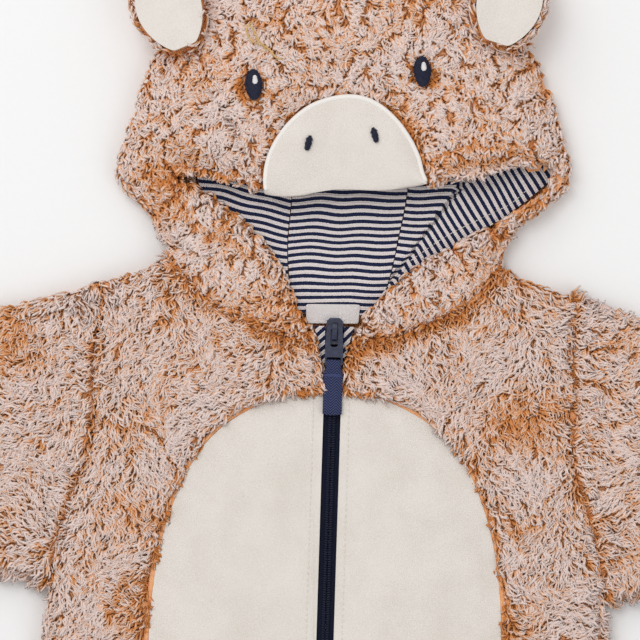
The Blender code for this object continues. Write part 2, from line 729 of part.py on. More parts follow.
def make_zip(collection, navy_tape, striped, cream):
    tape_low = FRONT_LOW - LAYER_GAP - TAPE_THICK
    for side, name in ((-1, "left"), (1, "right")):
        rows = zip_rows(LAYER_GAP / 2, ZIP_TAPE_OUTER, ZIP_TOP_UP, ZIP_END_UP - 4.0, 12)
        strip("zip_tape_" + name, rows, side, tape_low, TAPE_THICK, collection, navy_tape)
    chain = zip_rows(-CHAIN_HALF, CHAIN_HALF, CHAIN_TOP_UP, ZIP_END_UP, 12)
    strip("zip_chain", chain, 1, FRONT_LOW, CHAIN_HIGH, collection, navy_tape)
    for name, rows in FACING_ROWS.items():
        strip(name, rows, 1, FRONT_LOW, FACING_THICK, collection, striped)
    label_low = LINING_LOW + JERSEY + LAYER_GAP
    strip("neck_label", LABEL_ROWS, 1, label_low, LABEL_THICK, collection, cream)


def profile_solid(name, outlines, half_width, place, collection, material):
    """A flat outline with its holes, given a thickness: place maps its points to the world."""
    curve = bpy.data.curves.new(name, "CURVE")
    curve.dimensions = "2D"
    curve.fill_mode = "BOTH"
    curve.extrude = half_width
    for outline in outlines:
        spline = curve.splines.new("POLY")
        spline.points.add(len(outline) - 1)
        for point, (first, second) in zip(spline.points, outline):
            point.co = (first, second, 0, 1)
        spline.use_cyclic_u = True
    drawn = bpy.data.objects.new(name + "_outline", curve)
    collection.objects.link(drawn)
    bpy.context.view_layer.update()
    mesh = bpy.data.meshes.new_from_object(drawn.evaluated_get(bpy.context.evaluated_depsgraph_get()))
    bpy.data.objects.remove(drawn, do_unlink=True)
    shape = bmesh.new()
    shape.from_mesh(mesh)
    bmesh.ops.remove_doubles(shape, verts=shape.verts, dist=0.001)
    for vertex in shape.verts:
        vertex.co = place(vertex.co)
    bpy.data.meshes.remove(mesh)
    return make_object(name, close_mesh(name, shape), collection, material)


def rounded_box(half_x, low_up, high_up, corner):
    """The outline of a plate with cut corners, in plan millimetres."""
    return [
        (-half_x + corner, low_up), (half_x - corner, low_up), (half_x, low_up + corner),
        (half_x, high_up - corner), (half_x - corner, high_up), (-half_x + corner, high_up),
        (-half_x, high_up - corner), (-half_x, low_up + corner),
    ]


def lying(middle_z):
    """A plate that lies flat, its middle at a height."""
    return lambda co: to_world(co.x, co.y, middle_z + co.z)


def upright(co):
    """An outline of up and height that stands along the zip, its thickness across it."""
    return to_world(co.z, co.x, co.y)


def make_slider(collection, navy_metal):
    top = FRONT_LOW + SLIDER_THICK
    body_outline = [
        (-2.6, 0.0), (2.6, 0.0), (4.4, -1.6), (SLIDER_HALF, -4.5), (4.2, -8.5), (3.5, -SLIDER_LONG + 0.8),
        (2.8, -SLIDER_LONG), (-2.8, -SLIDER_LONG), (-3.5, -SLIDER_LONG + 0.8), (-4.2, -8.5),
        (-SLIDER_HALF, -4.5), (-4.4, -1.6),
    ]
    body = profile_solid(
        "slider", [body_outline], SLIDER_THICK / 2, lying(FRONT_LOW + SLIDER_THICK / 2), collection, navy_metal
    )
    arch_outline = [
        (-2.4, top - 1.0), (-2.4, top + 2.6), (-3.4, top + 4.0), (-5.4, top + 4.6), (-9.4, top + 4.4),
        (-11.8, top + 3.2), (-12.6, top + 1.6), (-12.6, top - 1.0), (-11.4, top - 1.0), (-11.4, top + 1.4),
        (-10.8, top + 2.5), (-9.2, top + 3.2), (-5.4, top + 3.3), (-4.1, top + 2.9), (-3.5, top + 2.2),
        (-3.5, top - 1.0),
    ]
    arch = profile_solid("slider_arch", [arch_outline], ARCH_HALF, upright, collection, navy_metal)
    arch.hide_render = True
    arch.display_type = "WIRE"
    join = body.modifiers.new("arch", "BOOLEAN")
    join.operation = "UNION"
    join.solver = "EXACT"
    join.object = arch
    return body


def make_pull(collection, navy_metal, navy_tape):
    """The metal tab on its cross bar, and the loop of webbing through its slot. Both turn about the bar."""
    pivot = bpy.data.objects.new("pull_pivot", None)
    pivot.location = to_world(0.0, PIVOT_UP, PIVOT_Z)
    collection.objects.link(pivot)
    bpy.context.view_layer.update()
    outline = [
        (-2.9, -4.1), (2.9, -4.1), (4.2, -5.2), (4.7, -9.0), (TAB_HALF, -20.0), (TAB_HALF, -25.4),
        (4.0, -26.6), (-4.0, -26.6), (-TAB_HALF, -25.4), (-TAB_HALF, -20.0), (-4.7, -9.0), (-4.2, -5.2),
    ]
    window = rounded_box(2.1, -16.0, -5.9, 0.9)
    slot = rounded_box(4.0, -24.4, -21.7, 0.5)
    tab = profile_solid(
        "pull_tab", [outline, window, slot], TAB_THICK / 2, lying(PIVOT_Z), collection, navy_metal
    )
    side = [
        (-22.9, 13.1), (-22.9, 14.3), (-23.6, 15.3), (-25.6, 15.6), (-28.0, 15.2), (-31.0, 14.3),
        (-35.0, 14.0), (-53.5, 13.9), (-53.5, 12.1), (-35.0, 12.1), (-31.0, 12.0), (-28.0, 11.8),
        (-25.4, 11.7), (-23.5, 12.0),
    ]
    bar_hole = [(-24.0, 12.7), (-24.0, 14.7), (-26.9, 14.7), (-27.6, 13.7), (-26.9, 12.7)]

    def shaped(co):
        share = ease((-co.x - 27.2) / 4.0)
        return to_world(co.z * mix(LOOP_HALF, PULL_HALF, share), co.x, co.y)

    loop = profile_solid("pull_tape", [side, bar_hole], 1.0, shaped, collection, navy_tape)
    for piece in (tab, loop):
        piece.parent = pivot
        piece.matrix_parent_inverse = pivot.matrix_world.inverted()


def main():
    clear_scene()
    collection = make_collection("fleece_pramsuit")
    fleece = make_material("fleece", FLEECE)
    cream = make_material("cream_velour", CREAM)
    striped = make_material("striped_jersey", STRIPED)
    navy_tape = make_material("navy_tape", NAVY_TAPE)
    navy_metal = make_material("navy_metal", NAVY_METAL)
    navy_thread = make_material("navy_thread", NAVY_THREAD)
    make_backs(collection, fleece)
    make_fronts(collection, fleece, cream)
    make_sleeve("sleeve_left", -1, collection, fleece)
    make_sleeve("sleeve_right", 1, collection, fleece)
    face = make_hood(collection, fleece)
    make_lining(collection, striped)
    muzzle = make_muzzle(collection, cream)
    for name, middle in EYES.items():
        make_oval(name, face, middle, EYE_HALF, EYE_TURN, EYE_THICK, collection, navy_thread)
    for name, (x, up, turn) in NOSTRILS.items():
        make_oval(name, muzzle, (x, up), NOSTRIL_HALF, turn, NOSTRIL_THICK, collection, navy_thread)
    make_ears(face, collection, fleece, cream)
    make_zip(collection, navy_tape, striped, cream)
    make_slider(collection, navy_metal)
    make_pull(collection, navy_metal, navy_tape)


main()
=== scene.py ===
"""A baby's hooded fleece pramsuit, laid flat on a pale surface under soft light and seen from straight above.

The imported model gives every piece's place. The fleece is a thin ground cloth with locks of pile, the
tummy, muzzle and ear linings are velour, the hood is lined with striped jersey, and the zip, its pull,
the embroidery and the sewing are modelled as they are.
"""

import logging
import math
from dataclasses import dataclass
from enum import Enum
from typing import Callable, ClassVar, Sequence

import bmesh
import bpy
import numpy as np
from bpy.types import Material, Mesh, NodeSocket, Object
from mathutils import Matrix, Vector
from mathutils.bvhtree import BVHTree
from mathutils.kdtree import KDTree


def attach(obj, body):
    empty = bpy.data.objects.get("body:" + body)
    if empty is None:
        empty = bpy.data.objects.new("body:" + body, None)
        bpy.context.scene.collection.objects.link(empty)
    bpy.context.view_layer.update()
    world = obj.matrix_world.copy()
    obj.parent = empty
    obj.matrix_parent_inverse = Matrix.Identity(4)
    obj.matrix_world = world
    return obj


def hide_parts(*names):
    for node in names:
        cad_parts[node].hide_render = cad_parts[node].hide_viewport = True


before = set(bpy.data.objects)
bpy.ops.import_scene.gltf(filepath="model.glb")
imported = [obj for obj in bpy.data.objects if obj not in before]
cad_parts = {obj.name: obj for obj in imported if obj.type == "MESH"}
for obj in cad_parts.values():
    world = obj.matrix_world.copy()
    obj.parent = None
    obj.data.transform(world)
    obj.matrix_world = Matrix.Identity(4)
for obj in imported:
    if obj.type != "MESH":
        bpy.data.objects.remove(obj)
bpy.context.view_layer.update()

MM = 0.001
FULL_TURN = 2 * math.pi
UP, DOWN = Vector((0, 0, 1)), Vector((0, 0, -1))
ABOVE_ALL = 0.08  # metres: rays drop from here, over every piece
ZIP_TOP_Y = 204.0  # the zip's top end in the frame's millimetres
CLOSE_UP = (-8.2, 202.6)  # the middle of the close view
CLOSE_UP_SIDE = 352.0
CLOSE_UP_TURN = math.radians(1.78)
SHARP_EDGE, HELD_EDGE = math.radians(50), 0.8
LOG = logging.getLogger("pramsuit")

Array = np.ndarray
Plan = tuple[float, float]
Line = Sequence[Plan]
Colour = tuple[float, float, float]


class Slot(Enum):
    """The names of the material slots."""

    FLEECE = "fleece"
    VELOUR = "velour"
    JERSEY = "striped_jersey"
    LABEL = "label_tape"
    THREAD = "navy_thread"
    ZIP = "zip_tape"
    METAL = "navy_metal"
    WEBBING = "webbing"


class Body(Enum):
    """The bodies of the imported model."""

    GARMENT = "garment"
    PULL = "zip_pull"


# ---------------------------------------------------------------- the plan


def to_plan(line: Line) -> Array:
    """Turns points of x and height above the zip's top into the frame's x and y, in millimetres."""
    points = np.array(line, float)
    points[:, 1] += ZIP_TOP_Y
    return points


def unit(rows: Array) -> Array:
    """Scales each row to a length of one."""
    return rows / np.maximum(np.linalg.norm(rows, axis=-1, keepdims=True), 1e-9)


def near_lines(points: Array, lines: Sequence[Line]) -> Array:
    """Measures how far points of the plan are from the nearest of some lines.

    Args:
        points: Points of x and y in the frame, in millimetres.
        lines: Lines measured from the zip's top.

    Returns:
        One distance for each point, in millimetres.
    """
    best = np.full(len(points), 1e9)
    for line in lines:
        corners = to_plan(line)
        for start, end in zip(corners, corners[1:]):
            along = end - start
            share = ((points - start) @ along / (along @ along)).clip(0, 1)
            away = points - start - share[:, None] * along
            best = np.minimum(best, np.hypot(away[:, 0], away[:, 1]))
    return best


def away_from(plan: Array, lines: Sequence[Line], step: float = 0.5) -> tuple[Array, Array]:
    """Measures the distance from some lines and the direction in which it grows."""
    gap = near_lines(plan, lines)
    return gap, unit(np.stack([near_lines(plan + to, lines) - gap for to in ((step, 0), (0, step))], 1))


def near(distance: Array, reach: float) -> Array:
    """Returns one at a distance of nothing, fading smoothly to none at the reach."""
    share = (1 - distance / reach).clip(0, 1)
    return share * share * (3 - 2 * share)


def waves(points: Array, length: float, seed: int) -> Array:
    """Makes a smooth, uneven field over the plan.

    Args:
        points: Points of x and y in millimetres.
        length: The rough size of the field's hills, in millimetres.
        seed: Picks one field among many.

    Returns:
        One value for each point, mostly between -1 and 1.
    """
    chance = np.random.default_rng(seed)
    total = np.zeros(len(points))
    for _ in range(7):
        angle, phase = chance.uniform(0, FULL_TURN, 2)
        pitch = length * chance.uniform(0.7, 1.6)
        across = points[:, 0] * math.cos(angle) + points[:, 1] * math.sin(angle)
        total += np.sin(FULL_TURN * across / pitch + phase)
    return total / 2.6


def inside(points: Array, corners: Array) -> Array:
    """Finds which points of the plan lie inside a closed line, by counting its crossings."""
    odd = np.zeros(len(points), bool)
    for (x1, y1), (x2, y2) in zip(corners, np.roll(corners, -1, axis=0)):
        if y1 != y2:
            passes = (points[:, 1] > min(y1, y2)) & (points[:, 1] <= max(y1, y2))
            odd ^= passes & (points[:, 0] < x1 + (points[:, 1] - y1) * (x2 - x1) / (y2 - y1))
    return odd


def along_line(line: Array, pitch: float) -> Array:
    """Divides a line of the plan into even steps along a smooth curve through its points.

    Args:
        line: The points of x and y, in millimetres.
        pitch: The length of one step.

    Returns:
        The finer line.
    """
    padded = np.vstack([2 * line[0] - line[1], line, 2 * line[-1] - line[-2]])
    fine = []
    for a, b, c, d in zip(padded, padded[1:], padded[2:], padded[3:]):
        for t in np.linspace(0, 1, 12, endpoint=False):
            fine.append(0.5 * (2 * b + (c - a) * t + (2 * a - 5 * b + 4 * c - d) * t * t
                               + (3 * b - a - 3 * c + d) * t ** 3))
    fine = np.array(fine + [line[-1]])
    travelled = np.concatenate([[0], np.cumsum(np.linalg.norm(np.diff(fine, axis=0), axis=1))])
    steps = max(2, int(round(travelled[-1] / pitch)) + 1)
    even = np.linspace(0, travelled[-1], steps)
    return np.column_stack([np.interp(even, travelled, fine[:, k]) for k in range(fine.shape[1])])


def mirrored(line: Line) -> list[Plan]:
    """Returns a line's mirror image across the zip."""
    return [(-x, up) for x, up in line]


# ---------------------------------------------------------------- meshes and pieces


def rows_of(items: bpy.types.bpy_prop_collection, name: str, kind: type = np.float32) -> Array:
    """Reads a property of three numbers from each vertex or triangle of a mesh."""
    flat = np.empty(len(items) * 3, kind)
    items.foreach_get(name, flat)
    return flat.reshape(-1, 3)


def points_of(mesh: Mesh) -> Array:
    """Returns a mesh's vertices as an array, in metres."""
    return rows_of(mesh.vertices, "co").astype(float)


def normals_of(mesh: Mesh) -> Array:
    """Returns the normals at a mesh's vertices as an array."""
    return rows_of(mesh.vertices, "normal").astype(float)


def triangles_of(mesh: Mesh) -> Array:
    """Returns the corners of a mesh's triangles, one triangle a row."""
    mesh.calc_loop_triangles()
    return rows_of(mesh.loop_triangles, "vertices", np.int32)


def set_points(mesh: Mesh, points: Array) -> None:
    """Moves a mesh's vertices to the points of an array, in metres."""
    mesh.vertices.foreach_set("co", points.astype(np.float32).ravel())
    mesh.update()


def tree_of(meshes: Sequence[Mesh]) -> BVHTree:
    """Gathers meshes into one tree for rays."""
    vertices, faces = [], []
    for mesh in meshes:
        start = len(vertices)
        vertices += [v.co for v in mesh.vertices]
        faces += [[start + i for i in p.vertices] for p in mesh.polygons]
    return BVHTree.FromPolygons(vertices, faces)


def add_object(name: str, data: bpy.types.ID) -> Object:
    """Adds an object at the origin."""
    obj = bpy.data.objects.new(name, data)
    bpy.context.scene.collection.objects.link(obj)
    return obj


def select_only(*objects: Object) -> None:
    """Selects some objects and nothing else, and makes the first one active."""
    bpy.ops.object.select_all(action="DESELECT")
    for obj in objects:
        obj.select_set(True)
    bpy.context.view_layer.objects.active = objects[0]


def smooth_shading(obj: Object, degrees: float) -> None:
    """Shades an object smooth except across edges sharper than an angle."""
    select_only(obj)
    bpy.ops.object.shade_smooth_by_angle(angle=math.radians(degrees))


def cut_piece(node: str, ending: str, levels: int) -> Object:
    """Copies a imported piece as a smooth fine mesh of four-sided faces.

    Args:
        node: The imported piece.
        ending: What the new piece's name adds to it.
        levels: How often the faces are divided.

    Returns:
        The new object.
    """
    obj = add_object(node + ending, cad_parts[node].data.copy())
    obj.data.materials.clear()
    select_only(obj)
    bpy.ops.object.mode_set(mode="EDIT")
    bpy.ops.mesh.select_all(action="SELECT")
    bpy.ops.mesh.customdata_custom_splitnormals_clear()
    bpy.ops.mesh.remove_doubles(threshold=0.00002)
    bpy.ops.mesh.tris_convert_to_quads(face_threshold=math.radians(40), shape_threshold=math.radians(60))
    bpy.ops.mesh.select_all(action="DESELECT")
    bpy.ops.mesh.select_mode(type="EDGE")
    bpy.ops.mesh.edges_select_sharp(sharpness=SHARP_EDGE)
    bpy.ops.transform.edge_crease(value=HELD_EDGE)
    bpy.ops.mesh.select_all(action="DESELECT")
    bpy.ops.object.mode_set(mode="OBJECT")
    divide = obj.modifiers.new("divide", "SUBSURF")
    divide.levels = divide.render_levels = levels
    divide.boundary_smooth = "ALL"
    bpy.ops.object.modifier_apply(modifier=divide.name)
    return obj


def mesh_from(name: str, points: Array, faces: Array) -> Mesh:
    """Makes a smooth mesh from vertices in millimetres and from faces with one number of corners."""
    mesh = bpy.data.meshes.new(name)
    count, sides = faces.shape
    mesh.vertices.add(len(points))
    mesh.vertices.foreach_set("co", (points * MM).astype(np.float32).ravel())
    mesh.loops.add(count * sides)
    mesh.loops.foreach_set("vertex_index", faces.astype(np.int32).ravel())
    mesh.polygons.add(count)
    mesh.polygons.foreach_set("loop_start", np.arange(0, count * sides, sides, dtype=np.int32))
    mesh.update(calc_edges=True)
    mesh.validate()
    mesh.polygons.foreach_set("use_smooth", np.ones(len(mesh.polygons), bool))
    return mesh


def set_values(mesh: Mesh, name: str, values: Array) -> None:
    """Stores one number or one vector for each vertex under a name the materials read."""
    kind, field = ("FLOAT", "value") if values.ndim == 1 else ("FLOAT_VECTOR", "vector")
    mesh.attributes.new(name, kind, "POINT").data.foreach_set(field, values.astype(np.float32).ravel())


def dress(obj: Object, material: Material, nodes: Sequence[str] = (),
          body: Body = Body.GARMENT) -> None:
    """Gives a piece its finish and ties it to its body.

    Args:
        obj: The piece.
        material: Its finish.
        nodes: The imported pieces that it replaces.
        body: The body that it moves with.
    """
    obj.data.materials.append(material)
    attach(obj, body.value)
    if nodes:
        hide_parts(*nodes)


def declare_sheet(obj: Object) -> None:
    """Reads a cloth's points and triangles, and does nothing more with them.

    Args:
        obj: The cloth.
    """
    points, corners = points_of(obj.data), triangles_of(obj.data)


def tube(line: Array, half_wide: float, half_high: float, sides: int, taper: float = 0.8) -> Mesh:
    """Sweeps a flat-lying oval along a line.

    Args:
        line: The middle line's points, in millimetres.
        half_wide: Half the tube's width, across the line.
        half_high: Half its height.
        sides: The number of sides.
        taper: The size of the two ends against the middle.

    Returns:
        The closed mesh.
    """
    ahead = unit(np.gradient(line, axis=0))
    side = unit(np.cross(ahead, (0, 0, 1.0)))
    top = np.cross(side, ahead)
    size = (taper + (1 - taper) * np.sin(math.pi * np.linspace(0, 1, len(line))) ** 0.5)[:, None, None]
    turns = FULL_TURN * np.arange(sides) / sides
    rings = (line[:, None] + size * half_wide * np.cos(turns)[None, :, None] * side[:, None]
             + size * half_high * np.sin(turns)[None, :, None] * top[:, None])
    first = np.arange(len(line) - 1)[:, None] * sides
    k, m = np.arange(sides)[None], (np.arange(sides)[None] + 1) % sides
    faces = np.stack([first + k, first + m, first + sides + m, first + sides + k], -1).reshape(-1, 4)
    mesh = mesh_from("tube", rings.reshape(-1, 3), faces)
    shape = bmesh.new()
    shape.from_mesh(mesh)
    shape.verts.ensure_lookup_table()
    last = (len(line) - 1) * sides
    shape.faces.new([shape.verts[i] for i in reversed(range(sides))])
    shape.faces.new([shape.verts[last + i] for i in range(sides)])
    bmesh.ops.recalc_face_normals(shape, faces=shape.faces)
    shape.to_mesh(mesh)
    shape.free()
    return mesh


def join_meshes(name: str, meshes: Sequence[Mesh]) -> Object:
    """Joins meshes into one object that lies at the origin."""
    parts = [add_object(name, mesh) for mesh in meshes]
    select_only(*parts)
    if len(parts) > 1:
        bpy.ops.object.join()
    parts[0].name = parts[0].data.name = name
    return parts[0]


class Surface:
    """The top of a piece, on which sewing and trims are laid."""

    def __init__(self, piece: Object) -> None:
        """Gathers the piece's faces."""
        self.tree = tree_of([piece.data])

    def lift(self, plan: Array, gap: float = 0.0) -> Array:
        """Puts points of the plan on the surface, or a gap above it, in millimetres."""
        heights, last = [], 12.0
        for x, y in plan:
            hit = self.tree.ray_cast(Vector((x * MM, y * MM, ABOVE_ALL)), DOWN)[0]
            last = hit.z / MM if hit else last
            heights.append(last + gap)
        return np.column_stack([plan, heights])

    def follow_edge(self, edge: Array, middle: Plan, probe: float, inset: float, gap: float) -> Array:
        """Lays a line beside the piece's edge, as high as the piece is farther in.

        Args:
            edge: The edge in the frame's plan, in millimetres.
            middle: The piece's middle, measured from the zip's top.
            probe: How far in from the edge the height is read.
            inset: How far in from the edge the line lies.
            gap: How far above that height it lies.

        Returns:
            The line, in millimetres.
        """
        inward = unit(to_plan([middle])[0] - edge)
        line = self.lift(edge + probe * inward, gap)
        line[:, :2] = edge + inset * inward
        return line


# ---------------------------------------------------------------- finishes


class Wiring:
    """Adds nodes to one material and links them up."""

    def __init__(self, name: str, colour: Colour, rough: float) -> None:
        """Starts a material with a plain colour and a roughness."""
        self.material = bpy.data.materials.new(name)
        self.material.use_nodes = True
        self.tree = self.material.node_tree
        self.shader = self.tree.nodes["Principled BSDF"]
        self.set({"Base Color": colour, "Roughness": rough})

    def feed(self, socket: NodeSocket, value: object) -> None:
        """Links an input to an output, or sets it to a number or a colour."""
        if isinstance(value, NodeSocket):
            self.tree.links.new(value, socket)
        else:
            socket.default_value = (*value, 1) if isinstance(value, tuple) else value

    def set(self, values: dict[str, object]) -> None:
        """Feeds the shader's inputs by name."""
        for name, value in values.items():
            self.feed(self.shader.inputs[name], value)

    def add(self, kind: str, values: dict[int | str, object], output: int | str = 0,
            **settings: object) -> NodeSocket:
        """Adds a node with its settings, feeds its inputs and returns one output."""
        node = self.tree.nodes.new("ShaderNode" + kind)
        for name, value in settings.items():
            setattr(node, name, value)
        for key, value in values.items():
            self.feed(node.inputs[key], value)
        return node.outputs[output]

    def read(self, name: str, output: str = "Fac") -> NodeSocket:
        """Reads a value that is stored on the mesh."""
        return self.add("Attribute", {}, output, attribute_name=name)

    def where(self) -> NodeSocket:
        """Returns the point's place in the frame, in metres."""
        return self.add("TexCoord", {}, "Object")

    def sums(self, operation: str, first: object, second: object = 0.5) -> NodeSocket:
        """Does arithmetic on sockets or numbers."""
        return self.add("Math", {0: first, 1: second}, operation=operation)

    def noise(self, place_at: NodeSocket, scale: float, detail: float) -> NodeSocket:
        """Returns noise of a scale in the coordinates given."""
        return self.add("TexNoise", {"Scale": scale, "Detail": detail, "Vector": place_at})

    def mix(self, share: object, first: object, second: object) -> NodeSocket:
        """Mixes two colours."""
        return self.add("Mix", {0: share, 6: first, 7: second}, 2, data_type="RGBA")

    def ramp(self, value: NodeSocket, stops: Sequence[tuple[float, Colour]]) -> NodeSocket:
        """Turns a value into a colour between stops."""
        output = self.add("ValToRGB", {0: value})
        bands = output.node.color_ramp.elements
        while len(bands) < len(stops):
            bands.new(0.5)
        for band, (position, colour) in zip(bands, stops):
            band.position = position
            band.color = (*colour, 1)
        return output

    def bump(self, height: NodeSocket, distance: float) -> None:
        """Raises the surface by a height pattern."""
        self.set({"Normal": self.add("Bump", {"Height": height, "Distance": distance, "Strength": 1.0})})


def tone(red: int, green: int, blue: int) -> Colour:
    """Turns a colour as seen on a screen, 0 to 255, into light values."""
    shares = (value / 255 for value in (red, green, blue))
    return tuple(share / 12.92 if share <= 0.04045 else ((share + 0.055) / 1.055) ** 2.4 for share in shares)


@dataclass(frozen=True)
class PileFinish:
    """The fleece's locks: dark ginger at the root and pale at the tip."""

    deep: Colour = tone(206, 130, 68)
    root: Colour = tone(222, 160, 108)
    middle: Colour = tone(230, 190, 164)
    tip: Colour = tone(232, 213, 206)
    rough: float = 0.9
    fibre_share: float = 0.55

    def make(self) -> Material:
        """Makes the material, which reads the values stored on the locks."""
        wiring = Wiring("fleece_pile", self.middle, self.rough)
        fibre = wiring.noise(wiring.read("fibre", "Vector"), 1.0, 3.0)
        streak = wiring.sums("MULTIPLY", wiring.sums("SUBTRACT", fibre, 0.5), self.fibre_share)
        # The stored tip value is smaller on each lock's underside, which paints shade there
        level = wiring.sums("ADD", wiring.sums("ADD", wiring.read("tip"), streak), wiring.read("shade"))
        colour = wiring.ramp(level, [(0.02, self.deep), (0.2, self.root), (0.36, self.middle), (0.58, self.tip)])
        wiring.set({"Base Color": colour, "Specular IOR Level": 0.25})
        wiring.bump(fibre, 0.0005)
        return wiring.material


@dataclass(frozen=True)
class NapFinish:
    """A matted or brushed cloth: fine fibres, laid here and there to another shade."""

    name: str
    colour: Colour
    shadow: Colour
    rough: float
    fine: tuple[float, float]
    broad: tuple[float, float]
    fine_share: float
    stops: tuple[float, float]
    relief: float
    specular: float = 0.5
    sheen: float = 0.0

    def make(self) -> Material:
        """Makes the material from fine and broad noise, each given as its scale and detail."""
        wiring = Wiring(self.name, self.colour, self.rough)
        at = wiring.where()
        fine, broad = wiring.noise(at, *self.fine), wiring.noise(at, *self.broad)
        level = wiring.sums("ADD", wiring.sums("MULTIPLY", fine, self.fine_share),
                            wiring.sums("MULTIPLY", broad, 1 - self.fine_share))
        wiring.set({"Base Color": wiring.ramp(level, list(zip(self.stops, (self.shadow, self.colour)))),
                    "Specular IOR Level": self.specular, "Sheen Weight": self.sheen})
        wiring.bump(fine, self.relief)
        return wiring.material


FLEECE_GROUND = NapFinish("fleece_ground", tone(238, 176, 126), tone(222, 146, 90), 0.95, (900.0, 4.0),
                          (90.0, 2.0), 0.5, (0.35, 0.6), 0.001)
CREAM_VELOUR = NapFinish("cream_velour", tone(225, 218, 211), tone(213, 205, 196), 0.9, (1900.0, 3.0),
                         (45.0, 3.0), 0.6, (0.36, 0.58), 0.0004, 0.2, 0.15)


@dataclass(frozen=True)
class JerseyFinish:
    """Fine knit with navy and off-white stripes, laid by the run that is stored on each piece."""

    pitch: float = 3.85
    navy_from: float = 0.49
    column: float = 1.1
    course: float = 1.28
    navy: tuple[Colour, Colour] = (tone(22, 28, 56), tone(38, 46, 78))
    pale: tuple[Colour, Colour] = (tone(234, 225, 222), tone(214, 205, 204))
    rough: float = 0.95

    def make(self) -> Material:
        """Makes the material: stripes across the run, with the knit's columns and courses as relief."""
        wiring = Wiring("striped_jersey", self.pale[0], self.rough)
        at = wiring.where()
        run = wiring.add("SeparateXYZ", {0: wiring.read("run", "Vector")}).node.outputs
        edge = wiring.sums("MULTIPLY", wiring.sums("SUBTRACT", wiring.noise(at, 1500.0, 1.0), 0.5), 0.5)
        stripe = wiring.sums("FRACT", wiring.sums("DIVIDE", wiring.sums("ADD", run[1], edge), self.pitch))
        fuzz = wiring.noise(at, 1300.0, 2.0)
        colour = wiring.mix(wiring.sums("GREATER_THAN", stripe, self.navy_from),
                            wiring.mix(fuzz, *self.pale), wiring.mix(fuzz, *self.navy))
        column, course = (wiring.sums("SINE", wiring.sums("MULTIPLY", way, FULL_TURN / each))
                          for way, each in ((run[0], self.column), (run[1], self.course)))
        wiring.bump(wiring.sums("ADD", wiring.sums("ADD", column, course), fuzz), 0.00012)
        wiring.set({"Base Color": colour, "Specular IOR Level": 0.15})
        return wiring.material


@dataclass(frozen=True)
class TapeFinish:
    """A woven tape with a herringbone of two shades."""

    name: str
    colour: Colour
    lit: Colour
    pitch: float
    zigzag: float
    rough: float = 0.7

    def make(self) -> Material:
        """Makes the material: diagonal ribs that turn back at each zigzag, as colour and relief."""
        wiring = Wiring(self.name, self.colour, self.rough)
        at = wiring.where()
        place_at = wiring.add("SeparateXYZ", {0: at}).node.outputs
        back = wiring.sums("PINGPONG", wiring.sums("ADD", place_at[0], 1.0), self.zigzag * MM)
        level = wiring.sums("DIVIDE", wiring.sums("ADD", place_at[1], back), self.pitch * MM)
        rib = wiring.sums("SINE", wiring.sums("MULTIPLY", level, FULL_TURN))
        relief = wiring.sums("ADD", rib, wiring.noise(at, 2200.0, 2.0))
        colour = wiring.mix(wiring.sums("MULTIPLY", relief, 0.45), self.colour, self.lit)
        wiring.set({"Base Color": colour, "Specular IOR Level": 0.2})
        wiring.bump(relief, 0.00015)
        return wiring.material


@dataclass(frozen=True)
class ThreadFinish:
    """Shiny embroidery or sewing thread."""

    name: str
    colour: Colour
    lit: Colour
    rough: float = 0.45

    def make(self) -> Material:
        """Makes the material: fine twist and a soft shine."""
        wiring = Wiring(self.name, self.colour, self.rough)
        twist = wiring.noise(wiring.where(), 2600.0, 2.0)
        wiring.set({"Base Color": wiring.mix(twist, self.colour, self.lit), "Specular IOR Level": 0.3})
        wiring.bump(twist, 0.0002)
        return wiring.material


@dataclass(frozen=True)
class EnamelFinish:
    """Navy enamel on cast metal, a little worn."""

    colour: Colour = tone(22, 28, 56)
    worn: Colour = tone(46, 54, 90)
    most_worn: float = 0.6
    coat: float = 0.15

    def make(self) -> Material:
        """Makes the material: satin paint with rubbed, paler places."""
        wiring = Wiring("navy_enamel", self.colour, 0.35)
        at = wiring.where()
        rub = wiring.noise(at, 420.0, 4.0)
        share = wiring.ramp(rub, [(0.52, (0, 0, 0)), (0.72, (self.most_worn,) * 3)])
        rough = wiring.sums("ADD", wiring.sums("MULTIPLY", rub, 0.3), 0.22)
        wiring.set({"Base Color": wiring.mix(share, self.colour, self.worn), "Roughness": rough,
                    "Coat Weight": self.coat})
        wiring.bump(wiring.noise(at, 1500.0, 2.0), 0.00008)
        return wiring.material


# ---------------------------------------------------------------- fleece

LOWER_PIECES = ("back_left", "back_right", "hood_back")
ARMHOLE = [(130, 17), (130, -26), (130, -60), (133, -80), (142.5, -107), (155, -151)]
NECK_LEFT = [(-8.5, -15.5), (-32, -9.5), (-52, -0.5), (-72, 8), (-89, 28)]
BELLY_EDGE = [(6, -40), (22, -42), (38.5, -47.8), (54.5, -56.5), (67.4, -67.7), (76.5, -81), (84.5, -99),
              (91.6, -121.3), (95.9, -146), (98, -180), (96.5, -215), (90, -250), (76, -282), (54, -304),
              (6, -318)]
BELLY_EDGES = [BELLY_EDGE, mirrored(BELLY_EDGE)]
MUZZLE_EDGE = [(-40.6, 66.4), (-41.6, 71.6), (-41.4, 80.5), (-39.1, 89.8), (-34.5, 99), (-27.6, 108),
               (-17.4, 116.4), (-4.4, 121.4), (8.6, 122.4), (20.4, 118.4), (31, 109.8), (38.7, 99.7),
               (43.8, 89.8), (46.3, 81), (48.5, 75.4), (46, 74.2)]
HEM_GROOVES = [
    [(54, 47), (75, 60), (98, 74), (113, 84)],
    [(-103.7, 80.4), (-95.6, 83.4), (-82.9, 83.3), (-76.8, 82.4), (-68.5, 78.2), (-57.9, 73.6)],
    [(-87, 55.6), (-70, 46), (-53.5, 39.6), (-36, 24)],
    [(54, 87), (80, 92), (109.8, 95.9)],
]
